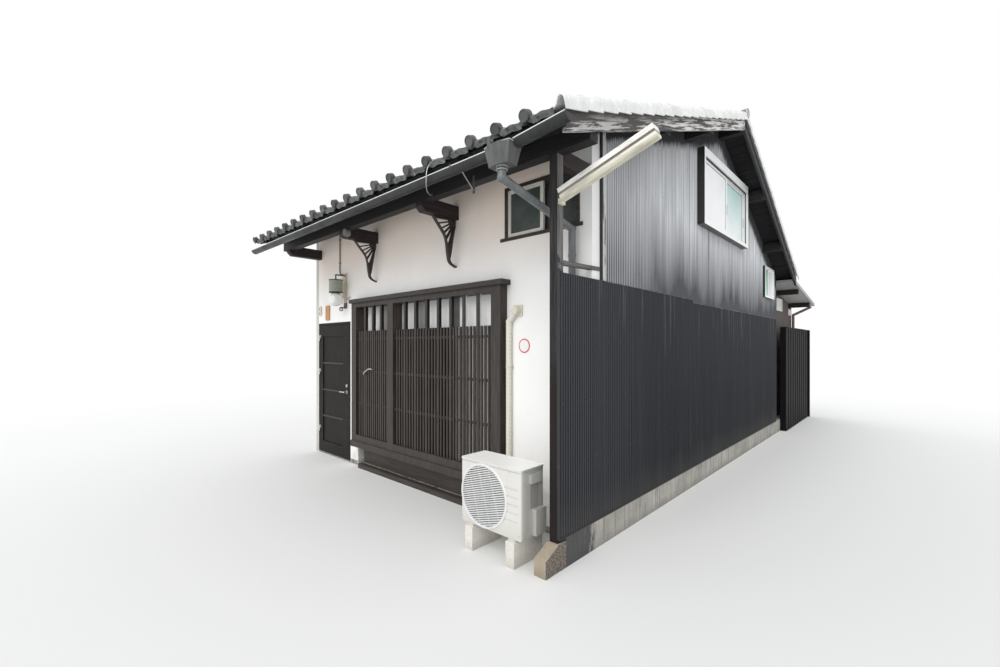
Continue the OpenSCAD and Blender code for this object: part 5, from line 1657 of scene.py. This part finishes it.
# %% Ring plate
PLATE = Vector((-0.735, WALL_Y, 1.652))
red_enamel = painted("red_enamel", (0.62, 0.075, 0.075), (0.72, 0.35, 0.33), 0.25, 0.4, 0.2)
white_enamel = painted("white_enamel", (0.88, 0.875, 0.86), (0.74, 0.70, 0.66), 0.1, 0.4, 0.1)
for name, front, back, radius, enamel in (("red", -0.0030, 0.0, 0.066, red_enamel),
                                          ("white", -0.0040, -0.0020, 0.055, white_enamel)):
    disc = (PLATE + Vector((0, front, 0)), PLATE + Vector((0, back, 0)), radius, 48)
    assemble("ring_plate_" + name, rod, [disc], enamel)

# %% [markdown]
# The entry door has a keyed lock over its lever, and a bright strip guards the sill. The lock
# swings with the leaf, so it rides with the door; the strip stays with the house.

# %% Door fittings
LOCK_X, LOCK_Z = -4.040, 1.078
form = bmesh.new()
rod(form, (LOCK_X, WALL_Y, LOCK_Z), (LOCK_X, 0.491, LOCK_Z), 0.025, 28, 0.023)
rod(form, (LOCK_X, 0.492, LOCK_Z), (LOCK_X, 0.486, LOCK_Z), 0.011, 20)
board(form, (-4.0415, 0.4850, 1.072), (-4.0385, 0.4870, 1.084), 0.0005)
piece("door_lock", form, steel, body="door", smooth=True)
assemble("sill_strip", board, [((-4.888, 0.487, 0.0215), (-3.982, 0.530, 0.0258), 0.001)],
         galvanised)

# %% [markdown]
# The lean-to shows two dark beams under its eave, a pane in its window and a louvred vent, and
# round seams join the sheets of its roof. The yard fence is folded sheet: upright ribs and two
# rails stiffen it.

# %% Lean-to fittings
WING_SLOPE, WING_Y, WING_Z = 0.13, 7.060, 2.885
WING_DEEP, BEAM_DEEP = 0.060, 0.092


def wing_top(y):
    """The top of the lean-to's roof at a depth."""
    return WING_Z - WING_SLOPE * (y - WING_Y)


assemble("wing_beams", board, [
    ((-0.125, y - 0.045, wing_top(y) - WING_DEEP - BEAM_DEEP),
     (0.262, y + 0.045, wing_top(y) - WING_DEEP - 0.001), 0.004) for y in (7.62, 8.90)],
         attic_x)
assemble("wing_pane", board, [((-0.1390, 7.675, 2.395), (-0.1330, 8.125, 2.595), 0.001)],
         upper_glass)
form = bmesh.new()
board(form, (-0.1215, 8.820, 2.330), (-0.1070, 9.060, 2.460), 0.004)
for i in range(5):
    board(form, (-0.1085, 8.834, 2.345 + 0.022 * i), (-0.0985, 9.046, 2.351 + 0.022 * i), 0.001)
piece("wing_vent", form, white_enamel)

# %% Lean-to roof seams
SEAM_PITCH = 0.303
form = bmesh.new()
x = -4.98
while x < 0.20:
    for start, end in ((7.30, 8.29), (8.31, 9.299)):
        rod(form, (x, start, wing_top(start) - 0.002), (x, end, wing_top(end) - 0.002), 0.010, 8)
    x += SEAM_PITCH
piece("wing_seams", form, wing_sheet, smooth=True)

# %% Fence ribs
RIB_PITCH = 0.235
form = bmesh.new()
y = 7.60
while y < 9.86:
    board(form, (0.0985, y, 0.030), (0.1075, y + 0.030, 2.005), 0.003)
    y += RIB_PITCH
for low, high in ((2.000, 2.022), (0.012, 0.040)):
    board(form, (0.0955, 7.450, low), (0.1120, 9.900, high), 0.003)
piece("fence_ribs", form, fence_black)
